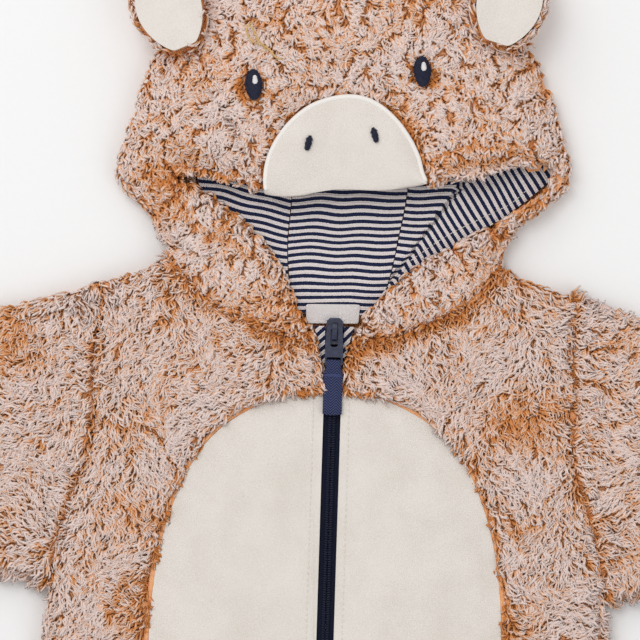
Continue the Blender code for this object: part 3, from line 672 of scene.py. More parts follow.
ZIP_GAP = [(-16.4, -2.2), (-12.6, -2.6), (-6.2, -29.9), (6.8, -29.5), (5.6, -14.7), (9.4, -1.9), (13.2, 0.4),
           (13.0, 8.1), (-16.7, 7.2)]
BRIM_SEAMS = [
    [(-116, 73), (-104, 83), (-89, 84), (-73, 80), (-57, 70)],
    [(49.5, 90), (60, 96), (78, 100), (93, 99), (110, 92)],
]
EYE_MIDDLES = [(-48.5, 126.2), (43.5, 136.2)]
NOSTRIL_MIDDLES = [(-17.5, 95.2), (18.6, 100.7)]


@dataclass
class FleecePiece:
    """One cut piece of fleece: a thin ground cloth and its pile."""

    node: str
    flat: Plan
    comb: float
    unruly: float = 0.22
    thick_locks: float = 1.0
    pile_deep: float = 3.7
    fringe: float = 3.6
    fade: float = 12.0
    cloth_least: float = 1.6
    cloth_share: float = 0.45
    touch: float = 0.004

    def lay_ground(self, others: BVHTree) -> Object:
        """Makes the ground cloth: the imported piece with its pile's depth taken off.

        Args:
            others: The other fleece pieces, beside which the cloth keeps its edge.

        Returns:
            The ground cloth.
        """
        obj = cut_piece(self.node, "_cloth", 1)
        points = points_of(obj.data)
        own = tree_of([obj.data])
        moved = points.copy()
        pulls = {}
        for i, (point, normal) in enumerate(zip(points, normals_of(obj.data))):
            at = Vector(point)
            if normal[2] > 0.25:
                hit = own.ray_cast(at + DOWN * 0.0002, DOWN)[0]
                thick = (point[2] - hit.z) / MM if hit else 4.0
                deep = max(thick - self.cloth_least, self.cloth_share * thick)
                moved[i, 2] -= min(self.pile_deep, deep) * MM
            level = Vector((normal[0], normal[1], 0))
            if level.length > 0.3 and -0.5 < normal[2] < 0.9:
                level.normalize()
                touches = others.ray_cast(at + level * 0.0002, level, self.touch)[0]
                pulls[i] = np.array(level[:2]) * self.fringe * MM * (touches is None)
        rim = KDTree(len(pulls))
        for i in pulls:
            rim.insert((*points[i, :2], 0), i)
        rim.balance()
        held = {i for i in pulls if any(
            not pulls[other].any() for _, other, _ in rim.find_range((*points[i, :2], 0), self.fringe * MM)
        )}
        pulls.update({i: np.zeros(2) for i in held})
        for i, point in enumerate(points):
            _, nearest, away = rim.find((*point[:2], 0))
            share = 1.0 if i in pulls else max(0.0, 1 - away / MM / self.fade)
            moved[i, :2] -= share * pulls[i if i in pulls else nearest]
        moved[:, 2] = np.maximum(moved[:, 2], 0.0)
        set_points(obj.data, moved)
        smooth_shading(obj, 60)
        return obj


@dataclass
class Roots:
    """Where locks grow: their places, the cloth's normals, and the ground each covers, in millimetres."""

    at: Array
    out: Array
    area: Array

    def pick(self, kept: Array) -> "Roots":
        """Returns some of the roots."""
        return Roots(self.at[kept], self.out[kept], self.area[kept])


@dataclass
class PileGrower:
    """Grows locks of pile on a ground cloth and gathers them into tufts."""

    close_area: float = 2.6
    far_area: float = 8.4
    length: float = 7.6
    rise: float = 2.7
    half_wide: float = 0.92
    half_thick: float = 0.6
    tuft: float = 5.4
    gather: float = 0.15
    curl: float = 1.5
    # How far the lower sides of each lock move towards the root colour: painted shade on the lock's underside
    underside_painted_shade: float = 0.3
    seed: int = 11
    close_rings: tuple[Plan, ...] = ((0.0, 0.8), (0.32, 1.0), (0.6, 1.0), (0.85, 0.8))
    far_rings: tuple[Plan, ...] = ((0.0, 0.85), (0.55, 1.05))
    eye_reach: float = 15.0
    groove_pitch: float = 24.0
    groove_long: float = 2.8
    groove_wide: float = 0.26
    trim_reach: float = 5.0

    def beyond(self, points: Array) -> Array:
        """Measures how far points of the plan lie outside the close view."""
        return np.abs(points - np.array(CLOSE_UP)).max(axis=1) - CLOSE_UP_SIDE / 2

    def scatter(self, mesh: Mesh, chance: np.random.Generator) -> tuple[Array, Array, Array]:
        """Picks roots over the steep rim of a ground cloth: most closely where the close view is.

        Args:
            mesh: The ground cloth.
            chance: The source of random numbers.

        Returns:
            The roots, their normals and the ground that each covers, in millimetres.
        """
        corners = triangles_of(mesh)
        points, normals = points_of(mesh) / MM, normals_of(mesh)
        a, b, c = (points[corners[:, k]] for k in range(3))
        cross = np.cross(b - a, c - a)
        area = np.linalg.norm(cross, axis=1) / 2
        slope = unit(cross)[:, 2]
        share = ((self.beyond(((a + b + c) / 3)[:, :2]) - 6.0) / 24.0).clip(0, 1)
        per_lock = self.close_area + (self.far_area - self.close_area) * share
        weight = np.where((slope > -0.35) & (slope < 0.5), area / per_lock, 0.0)
        total = int(weight.sum())
        steps = (np.arange(total) + chance.uniform(0, 1, total)) / total * weight.sum()
        face = np.searchsorted(np.cumsum(weight), steps).clip(0, len(corners) - 1)
        u, v = chance.uniform(0, 1, (2, total))
        over = u + v > 1
        u[over], v[over] = 1 - u[over], 1 - v[over]
        parts = np.stack([1 - u - v, u, v], 1)[:, :, None]
        places, out = ((values[corners[face]] * parts).sum(1) for values in (points, normals))
        return places, unit(out), per_lock[face]

    def lattice(self, mesh: Mesh, chance: np.random.Generator) -> tuple[Array, Array, Array]:
        """Spreads roots evenly over what faces up: closely where the close view is, and wider elsewhere.

        Args:
            mesh: The ground cloth.
            chance: The source of random numbers.

        Returns:
            The roots, their normals and the ground that each covers, in millimetres.
        """
        top = tree_of([mesh])
        (x1, y1), (x2, y2) = (limit(points_of(mesh)[:, :2] / MM, axis=0) for limit in (np.min, np.max))
        roots, out, areas = [], [], []
        for area in (self.close_area, self.far_area):
            step = math.sqrt(area / math.sin(math.pi / 3))
            grid = np.stack(np.meshgrid(
                np.arange(x1, x2, step), np.arange(y1, y2, step * math.sin(math.pi / 3))), -1)
            grid[1::2, :, 0] += step / 2
            grid = grid.reshape(-1, 2) + chance.uniform(-0.36, 0.36, (grid.size // 2, 2)) * step
            for x, y in grid[(self.beyond(grid) > 8.0) == (area == self.far_area)]:
                place_at, normal, _, _ = top.ray_cast(Vector((x * MM, y * MM, ABOVE_ALL)), DOWN)
                if place_at is not None and normal.z >= 0.5:
                    roots.append(place_at / MM)
                    out.append(normal)
                    areas.append(area)
        return np.array(roots).reshape(-1, 3), np.array(out).reshape(-1, 3), np.array(areas)

    def groove_field(self, plan: Array, comb: float) -> Array:
        """Makes a field whose zero lines are the partings that run along the pile."""
        along, across = (math.cos(comb), math.sin(comb)), (-math.sin(comb), math.cos(comb))
        warped = np.stack([plan @ across + 3.0 * waves(plan, 30.0, 6), plan @ along / self.groove_long], 1)
        return waves(warped, self.groove_pitch, 8)

    def bare(self, places: Array, cover: BVHTree) -> Array:
        """Finds the places that lie open to the sky, with no other piece above them."""
        return np.array([
            cover.ray_cast(Vector((x * MM, y * MM, (z + 0.3) * MM)), UP, 0.06)[0] is None for x, y, z in places
        ], bool)

    def lean_of(self, roots: Roots, flow: Array, groove: Array, parting: Array) -> Array:
        """Says which way each lock lies: off the partings, round the eyes, off the muzzle and on to the tummy.

        Args:
            roots: Where the locks grow.
            flow: The way that each lock would lie by itself, in radians.
            groove: How near each is to a parting, with the side that it is on as its sign.
            parting: The way that leads off the parting.

        Returns:
            Level directions, one for each lock, laid along the cloth.
        """
        plan = roots.at[:, :2]
        lean = np.stack([np.cos(flow), np.sin(flow), np.zeros(len(flow))], 1)
        level = lean[:, :2]
        level += 0.45 * groove[:, None] * parting
        for eye in to_plan(EYE_MIDDLES):
            away = plan - eye
            pull = near(np.hypot(*away.T), self.eye_reach)[:, None]
            level[:] = (1 - pull) * level + pull * unit(away)
        for lines, most, reach, sign in (([MUZZLE_EDGE], 0.75, 7.0, 1), (BELLY_EDGES, 0.7, 6.0, -1)):
            gap, aside = away_from(plan, lines)
            push = most * near(gap, reach)[:, None]
            level[:] = (1 - push) * level + sign * push * aside
        lean -= (lean * roots.out).sum(1)[:, None] * roots.out
        lean = unit(lean)
        over_gap = inside(plan + 0.7 * self.length * lean[:, :2], to_plan(ZIP_GAP))
        lean[over_gap, 0] = np.sign(plan[over_gap, 0]) * np.maximum(np.abs(lean[over_gap, 0]), 0.5)
        return lean

    def grow(self, ground: Object, cover: BVHTree, flaps: BVHTree, piece: FleecePiece,
             ginger: Callable[[Array], Array], seed: int) -> Object:
        """Grows the pile of one piece.

        Args:
            ground: The cloth that bears it.
            cover: The pieces under which no pile grows.
            flaps: The pieces through which no lock may come up.
            piece: Says which way the pile lies, how far its tufts turn and how thick its locks are.
            ginger: Says from points of the plan how much the roots show, from 0 to 1.
            seed: Picks one arrangement among many.

        Returns:
            The pile as one object.
        """
        chance = np.random.default_rng(self.seed + seed)
        roots = Roots(*map(np.concatenate, zip(self.scatter(ground.data, chance),
                                               self.lattice(ground.data, chance))))
        roots = roots.pick(self.bare(roots.at, cover))
        plan = roots.at[:, :2]
        low, high = plan.min(0) - 10, plan.max(0) + 10
        nx, ny = np.ceil((high - low) / self.tuft).astype(int)
        tufts = np.stack(np.meshgrid(np.arange(nx), np.arange(ny)), -1).reshape(-1, 2) * self.tuft + low
        tufts += chance.uniform(-0.45, 0.45, tufts.shape) * self.tuft
        tree = KDTree(len(tufts))
        for i, (x, y) in enumerate(tufts):
            tree.insert((x, y, 0), i)
        tree.balance()
        own = np.array([tree.find((x, y, 0))[1] for x, y in plan])
        way = math.radians(piece.comb)
        flow = way + 0.75 * waves(plan, 110.0, 3) + 0.55 * waves(plan, 40.0, 4)
        flow = flow + chance.normal(0, piece.unruly, len(tufts))[own] + chance.normal(0, 0.13, len(plan))
        field = self.groove_field(plan, way)
        parting = unit(np.stack([self.groove_field(plan + to, way) - field for to in ((1, 0), (0, 1))], 1))
        groove = near(np.abs(field), self.groove_wide)
        lean = self.lean_of(roots, flow, groove * np.sign(field), parting)
        trimmed = near(near_lines(plan, [*BELLY_EDGES, MUZZLE_EDGE]), self.trim_reach)
        kept = ~inside(plan + 0.5 * self.length * lean[:, :2], to_plan(ZIP_GAP))
        for share in (0.4, 0.8):
            kept &= self.bare(roots.at + share * (self.length * lean + self.rise * roots.out), flaps)
        roots = roots.pick(kept)
        lean, own, groove, trimmed = lean[kept], own[kept], groove[kept], trimmed[kept]
        plan = roots.at[:, :2]
        shown = np.maximum(ginger(plan), 0.55 * groove * (waves(plan, 50.0, 12) > -0.45))
        shade = chance.normal(0, 0.05, len(tufts))[own] + chance.normal(0, 0.06, len(plan))
        shade += 0.08 * waves(plan, 60.0, 9) - 0.62 * shown
        gather = np.zeros((len(plan), 3))
        gather[:, :2] = (tufts[own] - plan) * self.gather
        gather -= (gather * roots.out).sum(1)[:, None] * roots.out
        short = np.maximum(0.25 * shown, 0.5 * trimmed).clip(0, 0.5)
        name = piece.node + "_pile"
        mesh = self.lock_mesh(name, roots, lean, gather, short, shade, piece.thick_locks, chance)
        return add_object(name, mesh)

    def lock_mesh(self, name: str, roots: Roots, lean: Array, gather: Array, short: Array, shade: Array,
                  thicker: float, chance: np.random.Generator) -> Mesh:
        """Makes all the locks of a piece: finely bent near the close view and plainer elsewhere.

        Args:
            name: The mesh's name.
            roots: Where the locks grow.
            lean: The level directions that the locks lie in.
            gather: How far each lock's end moves to its tuft's middle.
            short: The share by which each lock is shorter.
            shade: How much paler or deeper each lock is.
            thicker: How much thicker and shorter than the rest the piece's locks are.
            chance: The source of random numbers.

        Returns:
            The joined locks, with the values that their finish reads.
        """
        count = len(roots.at)
        size = np.sqrt(roots.area / self.close_area)
        side = np.cross(roots.out, lean)
        long = self.length * size ** 0.5 * chance.uniform(0.7, 1.25, count) * (1 - short) / thicker ** 0.8
        tall = self.rise * chance.uniform(0.7, 1.1, count) * (1 - 0.8 * short)
        phase = 3.4 * waves(roots.at[:, :2], 17.0, 15) + chance.normal(0, 0.4, count)
        curl = self.curl * chance.uniform(0.6, 1.25, count)
        turn = chance.uniform(1.1, 1.4, count) * FULL_TURN
        wide = self.half_wide * thicker * size * chance.uniform(0.7, 1.3, count)
        thick = self.half_thick * thicker * size * chance.uniform(0.8, 1.2, count)
        offset = chance.uniform(0, 50, count)
        sides = 3
        turns = FULL_TURN * np.arange(sides) / sides + math.pi / 2
        made = []
        first = 0
        for pick, rings in ((size <= 1.2, self.close_rings), (size > 1.2, self.far_rings)):
            chosen = np.nonzero(pick)[0]
            number, bands = len(chosen), len(rings)
            if not number:
                continue
            out, lies = roots.out[chosen], lean[chosen]
            lines = []
            for t in [t for t, _ in rings] + [1.0]:
                h = tall[chosen] * (math.sin(math.pi / 2 * min(1.0, 1.35 * t)) - max(0.0, t - 0.7))
                line = roots.at[chosen] + out * (h - 0.6 * (t == 0))[:, None]
                line = line + lies * (long[chosen] * t ** 1.4)[:, None] + gather[chosen] * t ** 0.8
                swing = curl[chosen] * np.sin(phase[chosen] + turn[chosen] * t) * min(1.0, 1.6 * t)
                lines.append(line + side[chosen] * swing[:, None])
            middle = np.stack(lines, 1)
            ahead = unit(np.gradient(middle, axis=1))
            across = unit(np.cross(ahead, out[:, None]))
            top = np.cross(across, ahead)
            widths = np.array([width for _, width in rings])
            loops = middle[:, :bands, None] + sum(
                way[:, :bands, None] * ((half[chosen][:, None] * widths)[:, :, None] * spread)[..., None]
                for way, half, spread in ((across, wide, np.cos(turns)), (top, thick, np.sin(turns)))
            )
            each, last = bands * sides + 1, (bands - 1) * sides
            points = np.concatenate([loops.reshape(number, -1, 3), middle[:, bands:]], 1)
            shell = [(0, 2, 1)] + [(last + k, last + (k + 1) % sides, each - 1) for k in range(sides)]
            for a in range(last):
                b = a + 1 if (a + 1) % sides else a + 1 - sides
                shell += [(a, b, b + sides), (a, b + sides, a + sides)]
            faces = np.array(shell)[None] + each * np.arange(number)[:, None, None] + first
            # The ring's lower corners take a smaller value than the top corner, so each lock's underside carries
            # painted shade
            along = np.array([t - self.underside_painted_shade * (k > 0) for t, _ in rings for k in range(sides)] + [1.0])
            angle = np.append(np.tile(turns, bands), turns[0])
            start = offset[chosen][:, None]
            fibre = np.stack([np.cos(angle) * 1.9 + start, np.sin(angle) * 1.9 + start * 1.7,
                              along * 1.2 + start * 0.6], -1)
            made.append((points.reshape(-1, 3), faces.reshape(-1, 3), np.tile(along, number),
                         np.repeat(shade[chosen], each), fibre.reshape(-1, 3)))
            first += each * number
        points, faces, *values = map(np.concatenate, zip(*made))
        points[:, 2] = np.maximum(points[:, 2], 0.15)
        mesh = mesh_from(name, points, faces)
        for key, numbers in zip(("tip", "shade", "fibre"), values):
            set_values(mesh, key, numbers)
        return mesh


@dataclass
class Fleece:
    """All the fleece pieces of the suit."""

    grower: PileGrower
    seam_reach: float = 9.0
    eye_halo: float = 15.5
    most_shown: float = 1.4
    turn_wide: float = 1.5
    turn_high: float = 1.0
    turn_sinks: float = 0.75

    def pieces(self) -> list[FleecePiece]:
        """Lists the cut pieces with their flat sizes and the way their pile lies."""
        return [
            FleecePiece("back_left", (165, 650), -90),
            FleecePiece("back_right", (165, 650), -90),
            FleecePiece("front_left", (165, 650), -120),
            FleecePiece("front_right", (165, 650), -70),
            FleecePiece("sleeve_left", (250, 330), -150),
            FleecePiece("sleeve_right", (250, 330), -30),
            FleecePiece("hood_back", (262, 195), -90),
            FleecePiece("hood_side_left", (160, 190), -100, 0.5, 1.28),
            FleecePiece("hood_side_right", (160, 190), -75, 0.5, 1.28),
            FleecePiece("hood_face", (195, 135), -90, 0.6, 1.28, pile_deep=3.8),
            FleecePiece("ear_back_left", (62, 60), 114, pile_deep=3.0, fringe=2.0),
            FleecePiece("ear_back_right", (62, 62), 74, pile_deep=3.0, fringe=2.0),
        ]

    def ginger(self, plan: Array) -> Array:
        """Says how much the ginger roots show at points of the plan.

        Args:
            plan: Points of x and y in the frame, in millimetres.

        Returns:
            One share for each point: 0 where only tips show, and 1 or more where mostly roots do.
        """
        shown = (waves(plan, 70.0, 21) - 0.3).clip(0, 1) * 0.4
        for lines, most, reach in (
            ([ARMHOLE, mirrored(ARMHOLE)], 0.5, 4.5), ([NECK_LEFT, mirrored(NECK_LEFT)], 0.7, self.seam_reach),
            ([*BELLY_EDGES, MUZZLE_EDGE], 1.25, 4.5), (HEM_GROOVES, 0.6, 5.0), (BRIM_SEAMS, 0.6, 4.5),
        ):
            shown = np.maximum(shown, most * near(near_lines(plan, lines), reach))
        for eye in to_plan(EYE_MIDDLES):
            away = (plan - eye) / (0.75, 1.0)
            shown = np.maximum(shown, 2.6 * near(np.hypot(*away.T), self.eye_halo))
        return shown.clip(0, self.most_shown)

    def tummy_seam(self, side: str, material: Material) -> Object:
        """Makes the turned edge of the fleece where the tummy panel is set in.

        Args:
            side: The half of the suit, left or right.
            material: The finish of the ground cloth.

        Returns:
            The turned edge, which closes the seam between the two cloths.
        """
        line = BELLY_EDGES[side == "left"]
        surface = Surface(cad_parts["belly_" + side])
        rim = surface.follow_edge(along_line(to_plan(line), 2.5)[2:-2],
                                  (50 if side == "right" else -50, -180), 3.0, -0.5, -self.turn_sinks)
        band = join_meshes("front_" + side + "_seam", [tube(rim, self.turn_wide, self.turn_high, 8)])
        dress(band, material)
        return band

    def build(self) -> None:
        """Lays the ground cloths and grows the pile on them."""
        ground_material, pile_material = FLEECE_GROUND.make(), PileFinish().make()
        solids = dict(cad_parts)
        cloths = {}
        for piece in self.pieces():
            beside = LOWER_PIECES if piece.node in LOWER_PIECES else solids
            cloths[piece.node] = piece.lay_ground(
                tree_of([solids[node].data for node in beside if node != piece.node]))
        for number, piece in enumerate(self.pieces()):
            cloth = cloths[piece.node]
            cover = [other for other in cloths.values() if other != cloth]
            cover += [packed for node, packed in solids.items() if node not in cloths]
            flaps = ["ear_front_left", "ear_front_right"]
            if not piece.node.startswith("ear"):
                flaps += ["ear_back_left", "ear_back_right"]
            pile = self.grower.grow(
                cloth, tree_of([above.data for above in cover]),
                tree_of([solids[node].data for node in flaps]), piece, self.ginger, number,
            )
            dress(cloth, ground_material, [piece.node])
            dress(pile, pile_material)
            if piece.node.startswith("front"):
                self.tummy_seam(piece.node.removeprefix("front_"), ground_material)
            declare_sheet(cloth)
            LOG.info("%s: %d faces of pile", piece.node, len(pile.data.polygons))


# ---------------------------------------------------------------- sewing and velour


@dataclass(frozen=True)
class Stitching:
    """A row of machine stitches, each sunk at its two ends."""

    pitch: float = 3.2
    long: float = 2.5
    half_wide: float = 0.3
    half_high: float = 0.26
    above: float = 0.12
    sunk: float = 0.3

    def sew(self, name: str, line: Line, piece: Object) -> Object:
        """Makes the stitches along a line.

        Args:
            name: The row's name.
            line: The line, measured from the zip's top.
            piece: What the stitches lie on.

        Returns:
            The row of stitches.
        """
        surface = Surface(piece)
        marks = along_line(to_plan(line), self.pitch)
        stitches = []
        for start, end in zip(marks, marks[1:]):
            share = min(0.9, self.long / max(np.linalg.norm(end - start), 1e-6))
            plan = start + (end - start) * (np.linspace(0.5 - share / 2, 0.5 + share / 2, 4))[:, None]
            points = surface.lift(plan, self.above)
            points[[0, -1], 2] -= self.sunk
            stitches.append(tube(points, self.half_wide, self.half_high, 5, 0.7))
        return join_meshes(name, stitches)


@dataclass
class Velour:
    """The cream tummy, muzzle and ear fronts."""

    thread: ThreadFinish
    satin: ThreadFinish = ThreadFinish("cream_satin", tone(238, 233, 229), tone(228, 222, 216), 0.6)
    divide: int = 2
    crease_deep: float = 0.75
    crease_reach: float = 6.5
    piping_wide: float = 1.5
    piping_high: float = 1.15
    flats: ClassVar[dict[str, Plan]] = {
        "belly_left": (100, 285), "belly_right": (100, 285), "muzzle": (100, 66),
        "ear_front_left": (56, 52), "ear_front_right": (56, 52),
    }
    creases: ClassVar[tuple[tuple[Line, float], ...]] = (
        ([(-22, -50), (-33, -84), (-46, -121)], 0.8), ([(28.6, -52), (35.4, -77)], 0.7),
        ([(62, -84), (80, -112), (93, -152)], 1.0), ([(18, -96), (20, -150), (16, -210)], 0.5),
        ([(-70, -96), (-74, -150), (-62, -220)], 0.7), ([(-20, -180), (-34, -240)], 0.6),
        ([(60, -190), (48, -262)], 0.7),
    )

    def crease(self, mesh: Mesh) -> None:
        """Presses the soft troughs of a laid cloth into the tummy panel."""
        points = points_of(mesh)
        plan = points[:, :2] / MM
        for line, share in self.creases:
            away = near_lines(plan, [line])
            deep = share * self.crease_deep * MM
            points[:, 2] += deep * (0.45 * near(np.abs(away - 8.5), 5.0) - near(away, self.crease_reach))
        points[:, 2] += 0.35 * waves(plan, 55.0, 31) * MM * near(np.abs(points[:, 2] / MM - 12.5), 4.0)
        set_points(mesh, points)

    def build(self) -> None:
        """Makes the velour pieces as thin smooth cloth, with the muzzle's piping and the zip's topstitch."""
        material, cream_thread = CREAM_VELOUR.make(), self.thread.make()
        made = {}
        for node in self.flats:
            cloth = cut_piece(node, "_cloth", self.divide)
            if node.startswith("belly"):
                self.crease(cloth.data)
            smooth_shading(cloth, 60)
            dress(cloth, material, [node])
            made[node] = cloth
            LOG.info("%s: %d faces", node, len(cloth.data.polygons))
        for node, x in (("belly_left", -10.4), ("belly_right", 9.4)):
            row = Stitching().sew(node + "_topstitch", [(x, -46), (x, -180), (x, -313)], made[node])
            dress(row, cream_thread)
        edge = along_line(to_plan(MUZZLE_EDGE), 1.6)[1:-2]
        rim = Surface(made["muzzle"]).follow_edge(edge, (3, 88), 2.0, 1.3, 0.0)
        rim[:, 2] = np.convolve(np.pad(rim[:, 2], 3, mode="edge"), np.ones(7) / 7, mode="valid") - 0.5
        piping = join_meshes("muzzle_piping", [tube(rim, self.piping_wide, self.piping_high, 10)])
        dress(piping, self.satin.make())
        for node, flat in self.flats.items():
            declare_sheet(made[node])


# ---------------------------------------------------------------- jersey, label and zip


@dataclass
class Lining:
    """The striped jersey inside the hood and beside the zip, and the bare label."""

    thread: ThreadFinish
    label: TapeFinish = TapeFinish("label_weave", tone(252, 244, 242), tone(255, 250, 250), 0.55, 1.1)
    divide: int = 4
    fold: tuple[Plan, Plan] = ((58.6, 62.9), (34.9, 28.6))
    fold_tilt: float = math.radians(33)
    flats: ClassVar[dict[str, Plan]] = {
        "hood_lining_centre": (70, 96), "hood_lining_left": (58, 96), "hood_lining_right": (96, 96),
    }
    turns: ClassVar[dict[str, float]] = {
        "hood_lining_centre": 0.03, "hood_lining_left": -0.2, "zip_facing_left": 0.72, "zip_facing_right": 0.8,
    }
    hem_row: Line = ((44.0, 27.0), (63.0, 41.0), (81.0, 51.0), (98.0, 60.0), (107.0, 68.0))

    def lay_stripes(self, node: str, mesh: Mesh) -> None:
        """Stores the run of the stripes on a piece, and presses its creases.

        Args:
            node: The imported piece.
            mesh: The fine mesh that replaces it.
        """
        points = points_of(mesh)
        plan = points[:, :2] / MM
        x, y = plan[:, 0], plan[:, 1] - ZIP_TOP_Y
        wander = 0.7 * waves(plan, 34.0, 41)
        if node == "hood_lining_right":
            (x1, y1), (x2, y2) = self.fold
            aside = ((x - x2) * (y1 - y2) - (y - y2) * (x1 - x2)) / math.hypot(x1 - x2, y1 - y2)
            cos, sin = math.cos(self.fold_tilt), math.sin(self.fold_tilt)
            meet = (y1 + y2) / 2 * (1 - sin) - (x1 + x2) / 2 * cos
            band = x * cos + y * sin + 0.5 * wander + meet
            level = y + 1.6 * np.sin((x - 30) / 9.0) * near(np.abs(x - 40), 24.0) + wander
            blend = (aside / 1.2 + 0.5).clip(0, 1)
            rise = level * (1 - blend) + band * blend
            column = np.where(blend > 0.5, y * cos - x * sin, x)
            points[:, 2] += 0.7 * MM * (near(np.abs(aside + 2.5), 4.5) - near(np.abs(aside), 2.5))
        else:
            cos, sin = math.cos(self.turns[node]), math.sin(self.turns[node])
            rise = y * cos - x * sin + wander * (0.9 if "lining" in node else 0.2)
            column = x * cos + y * sin
            if node == "hood_lining_centre":
                points[:, 2] += 0.35 * MM * near(near_lines(plan, [[(-12, 66), (-16, 40)]]), 4.0)
                rise = rise - 1.1 * near(np.abs(x + 9), 14.0)
            if node == "hood_lining_left":
                points[:, 2] -= 0.4 * MM * near(near_lines(plan, [[(-37, 64), (-33, 34)]]), 2.5)
        set_points(mesh, points)
        set_values(mesh, "run", np.column_stack([column, rise + 200, np.zeros(len(x))]))

    def build(self) -> None:
        """Makes the jersey pieces, the seams of the lining and the label."""
        jersey = JerseyFinish().make()
        made = {}
        for node in (*self.flats, "zip_facing_left", "zip_facing_right"):
            cloth = cut_piece(node, "_cloth", self.divide)
            self.lay_stripes(node, cloth.data)
            smooth_shading(cloth, 60)
            dress(cloth, jersey, [node])
            made[node] = cloth
            LOG.info("%s: %d faces", node, len(cloth.data.polygons))
        hem = [(x - 3.6, y + 5.6) for x, y in self.hem_row]
        topstitch = Stitching(2.6, 2.1, 0.22, 0.2).sew("lining_topstitch", hem, made["hood_lining_right"])
        dress(topstitch, self.thread.make())
        for node, flat in self.flats.items():
            declare_sheet(made[node])
        dress(cut_piece("neck_label", "_tape", 4), self.label.make(), ["neck_label"])


@dataclass
class Zip:
    """The zip's tapes and chain, its slider, and its pull of metal and webbing."""

    rib_pitch: float = 1.3
    rib_long: float = 0.85
    rib_high: float = 0.84
    chain_top: float = -15.6
    chain_end: float = -387.0
    chain_height: float = 10.55
    bar_rows: Plan = (-31.3, -32.0)
    bar_half: float = 4.7

    def make_chain(self) -> Object:
        """Makes the covered coil: two rows of soft ribs that meet at the middle."""
        out = np.array([0.12, 0.7, 1.6, 2.2])
        drop = np.array([0.35, 0.0, 0.05, 0.9])
        ribs = []
        for i in range(int((self.chain_top - self.chain_end) / self.rib_pitch)):
            up = self.chain_top - (i + 0.5) * self.rib_pitch + ZIP_TOP_Y
            for side in (-1, 1):
                line = np.column_stack([side * out, up + 0.25 * out, self.chain_height - drop])
                ribs.append(tube(line, self.rib_long / 2, self.rib_high / 2, 5))
        return join_meshes("zip_coil", ribs)

    def build(self) -> None:
        """Dresses and replaces the zip's pieces."""
        tape = TapeFinish("navy_zip_weave", tone(18, 22, 42), tone(34, 40, 66), 0.8, 2.2).make()
        for node in ("zip_tape_left", "zip_tape_right"):
            piece = cut_piece(node, "_woven", 1)
            smooth_shading(piece, 40)
            dress(piece, tape, [node])
        coil_finish = ThreadFinish("navy_coil", tone(16, 20, 40), tone(30, 36, 62), 0.55)
        dress(self.make_chain(), coil_finish.make(), ["zip_chain"])
        pull = cut_piece("pull_tape", "_webbing", 2)
        smooth_shading(pull, 60)
        webbing = TapeFinish("navy_webbing", tone(28, 33, 64), tone(84, 92, 132), 1.5, 3.0)
        dress(pull, webbing.make(), ["pull_tape"], Body.PULL)
        surface = Surface(pull)
        bars = []
        for up in self.bar_rows:
            across = np.linspace(-self.bar_half, self.bar_half, 12)
            line = np.column_stack([across, np.full(12, up + ZIP_TOP_Y)])
            bars.append(tube(surface.lift(line, 0.08), 0.3, 0.22, 6))
        sewing = ThreadFinish("navy_sewing", tone(50, 58, 100), tone(80, 88, 132))
        dress(join_meshes("pull_tape_stitches", bars), sewing.make(), body=Body.PULL)
        enamel = EnamelFinish().make()
        for node in ("slider", "pull_tab"):
            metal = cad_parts[node]
            metal.data.materials.clear()
            metal.data.materials.append(enamel)


# ---------------------------------------------------------------- embroidery


@dataclass
class Embroidery:
    """The eyes and nostrils in satin stitch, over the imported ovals."""

    eye_half: Plan = (4.8, 8.4)
    nostril_half: Plan = (1.9, 4.2)
    light_half: Plan = (1.55, 2.35)
    light_aside: Plan = (0.7, 2.7)
    eye_turn: float = math.radians(6.0)
    nostril_turns: Plan = (-0.2, 0.3)
    thread_pitch: float = 0.62

    def satin(self, name: str, middle: Array, half: Plan, turn: float, piece: Object, puff: float) -> Object:
        """Fills an oval with threads laid side by side.

        Args:
            name: The oval's name.
            middle: The oval's middle in the frame's plan, in millimetres.
            half: Half its width and half its height.
            turn: How far it is turned, in radians.
            piece: What it is sewn on.
            puff: How far its middle stands up.

        Returns:
            The filled oval.
        """
        chance = np.random.default_rng(5)
        surface = Surface(piece)
        spin = np.array([[math.cos(turn), math.sin(turn)], [-math.sin(turn), math.cos(turn)]])
        share = np.linspace(-1, 1, 7)
        threads = []
        rows = int(2 * half[1] / self.thread_pitch)
        for i in range(rows):
            up = half[1] * (2 * (i + 0.5) / rows - 1)
            reach = half[0] * math.sqrt(max(0.0, 1 - (up / half[1]) ** 2)) + chance.uniform(-0.3, 0.3)
            if reach < 0.3:
                continue
            local = np.column_stack([share * reach, up + 0.12 * share])
            line = surface.lift(middle + local @ spin)
            line[:, 2] = np.maximum(line[:, 2], np.median(line[:, 2]) - 0.3)
            line[:, 2] += puff * (1 - share ** 2) - 0.25 * (np.abs(share) > 0.95)
            threads.append(tube(line, self.thread_pitch * 0.62, 0.3, 5))
        return join_meshes(name, threads)

    def build(self) -> None:
        """Makes the stitched ovals and the small white lights in the eyes."""
        navy = ThreadFinish("navy_satin_thread", tone(10, 12, 30), tone(34, 38, 66), 0.42).make()
        white = ThreadFinish("white_satin_thread", tone(240, 236, 236), tone(222, 216, 216), 0.5).make()
        for node, middle in zip(("eye_left", "eye_right"), to_plan(EYE_MIDDLES)):
            packed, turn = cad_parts[node], self.eye_turn
            eye = self.satin(node + "_stitched", middle, self.eye_half, turn, packed, 0.35)
            dress(eye, navy, [node])
            light = self.satin(node + "_light", middle + self.light_aside, self.light_half, turn, eye, 0.25)
            dress(light, white)
        for node, middle, turn in zip(("nostril_left", "nostril_right"), to_plan(NOSTRIL_MIDDLES),
                                      self.nostril_turns):
            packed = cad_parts[node]
            nostril = self.satin(node + "_stitched", middle, self.nostril_half, turn, packed, 0.2)
            dress(nostril, navy, [node])


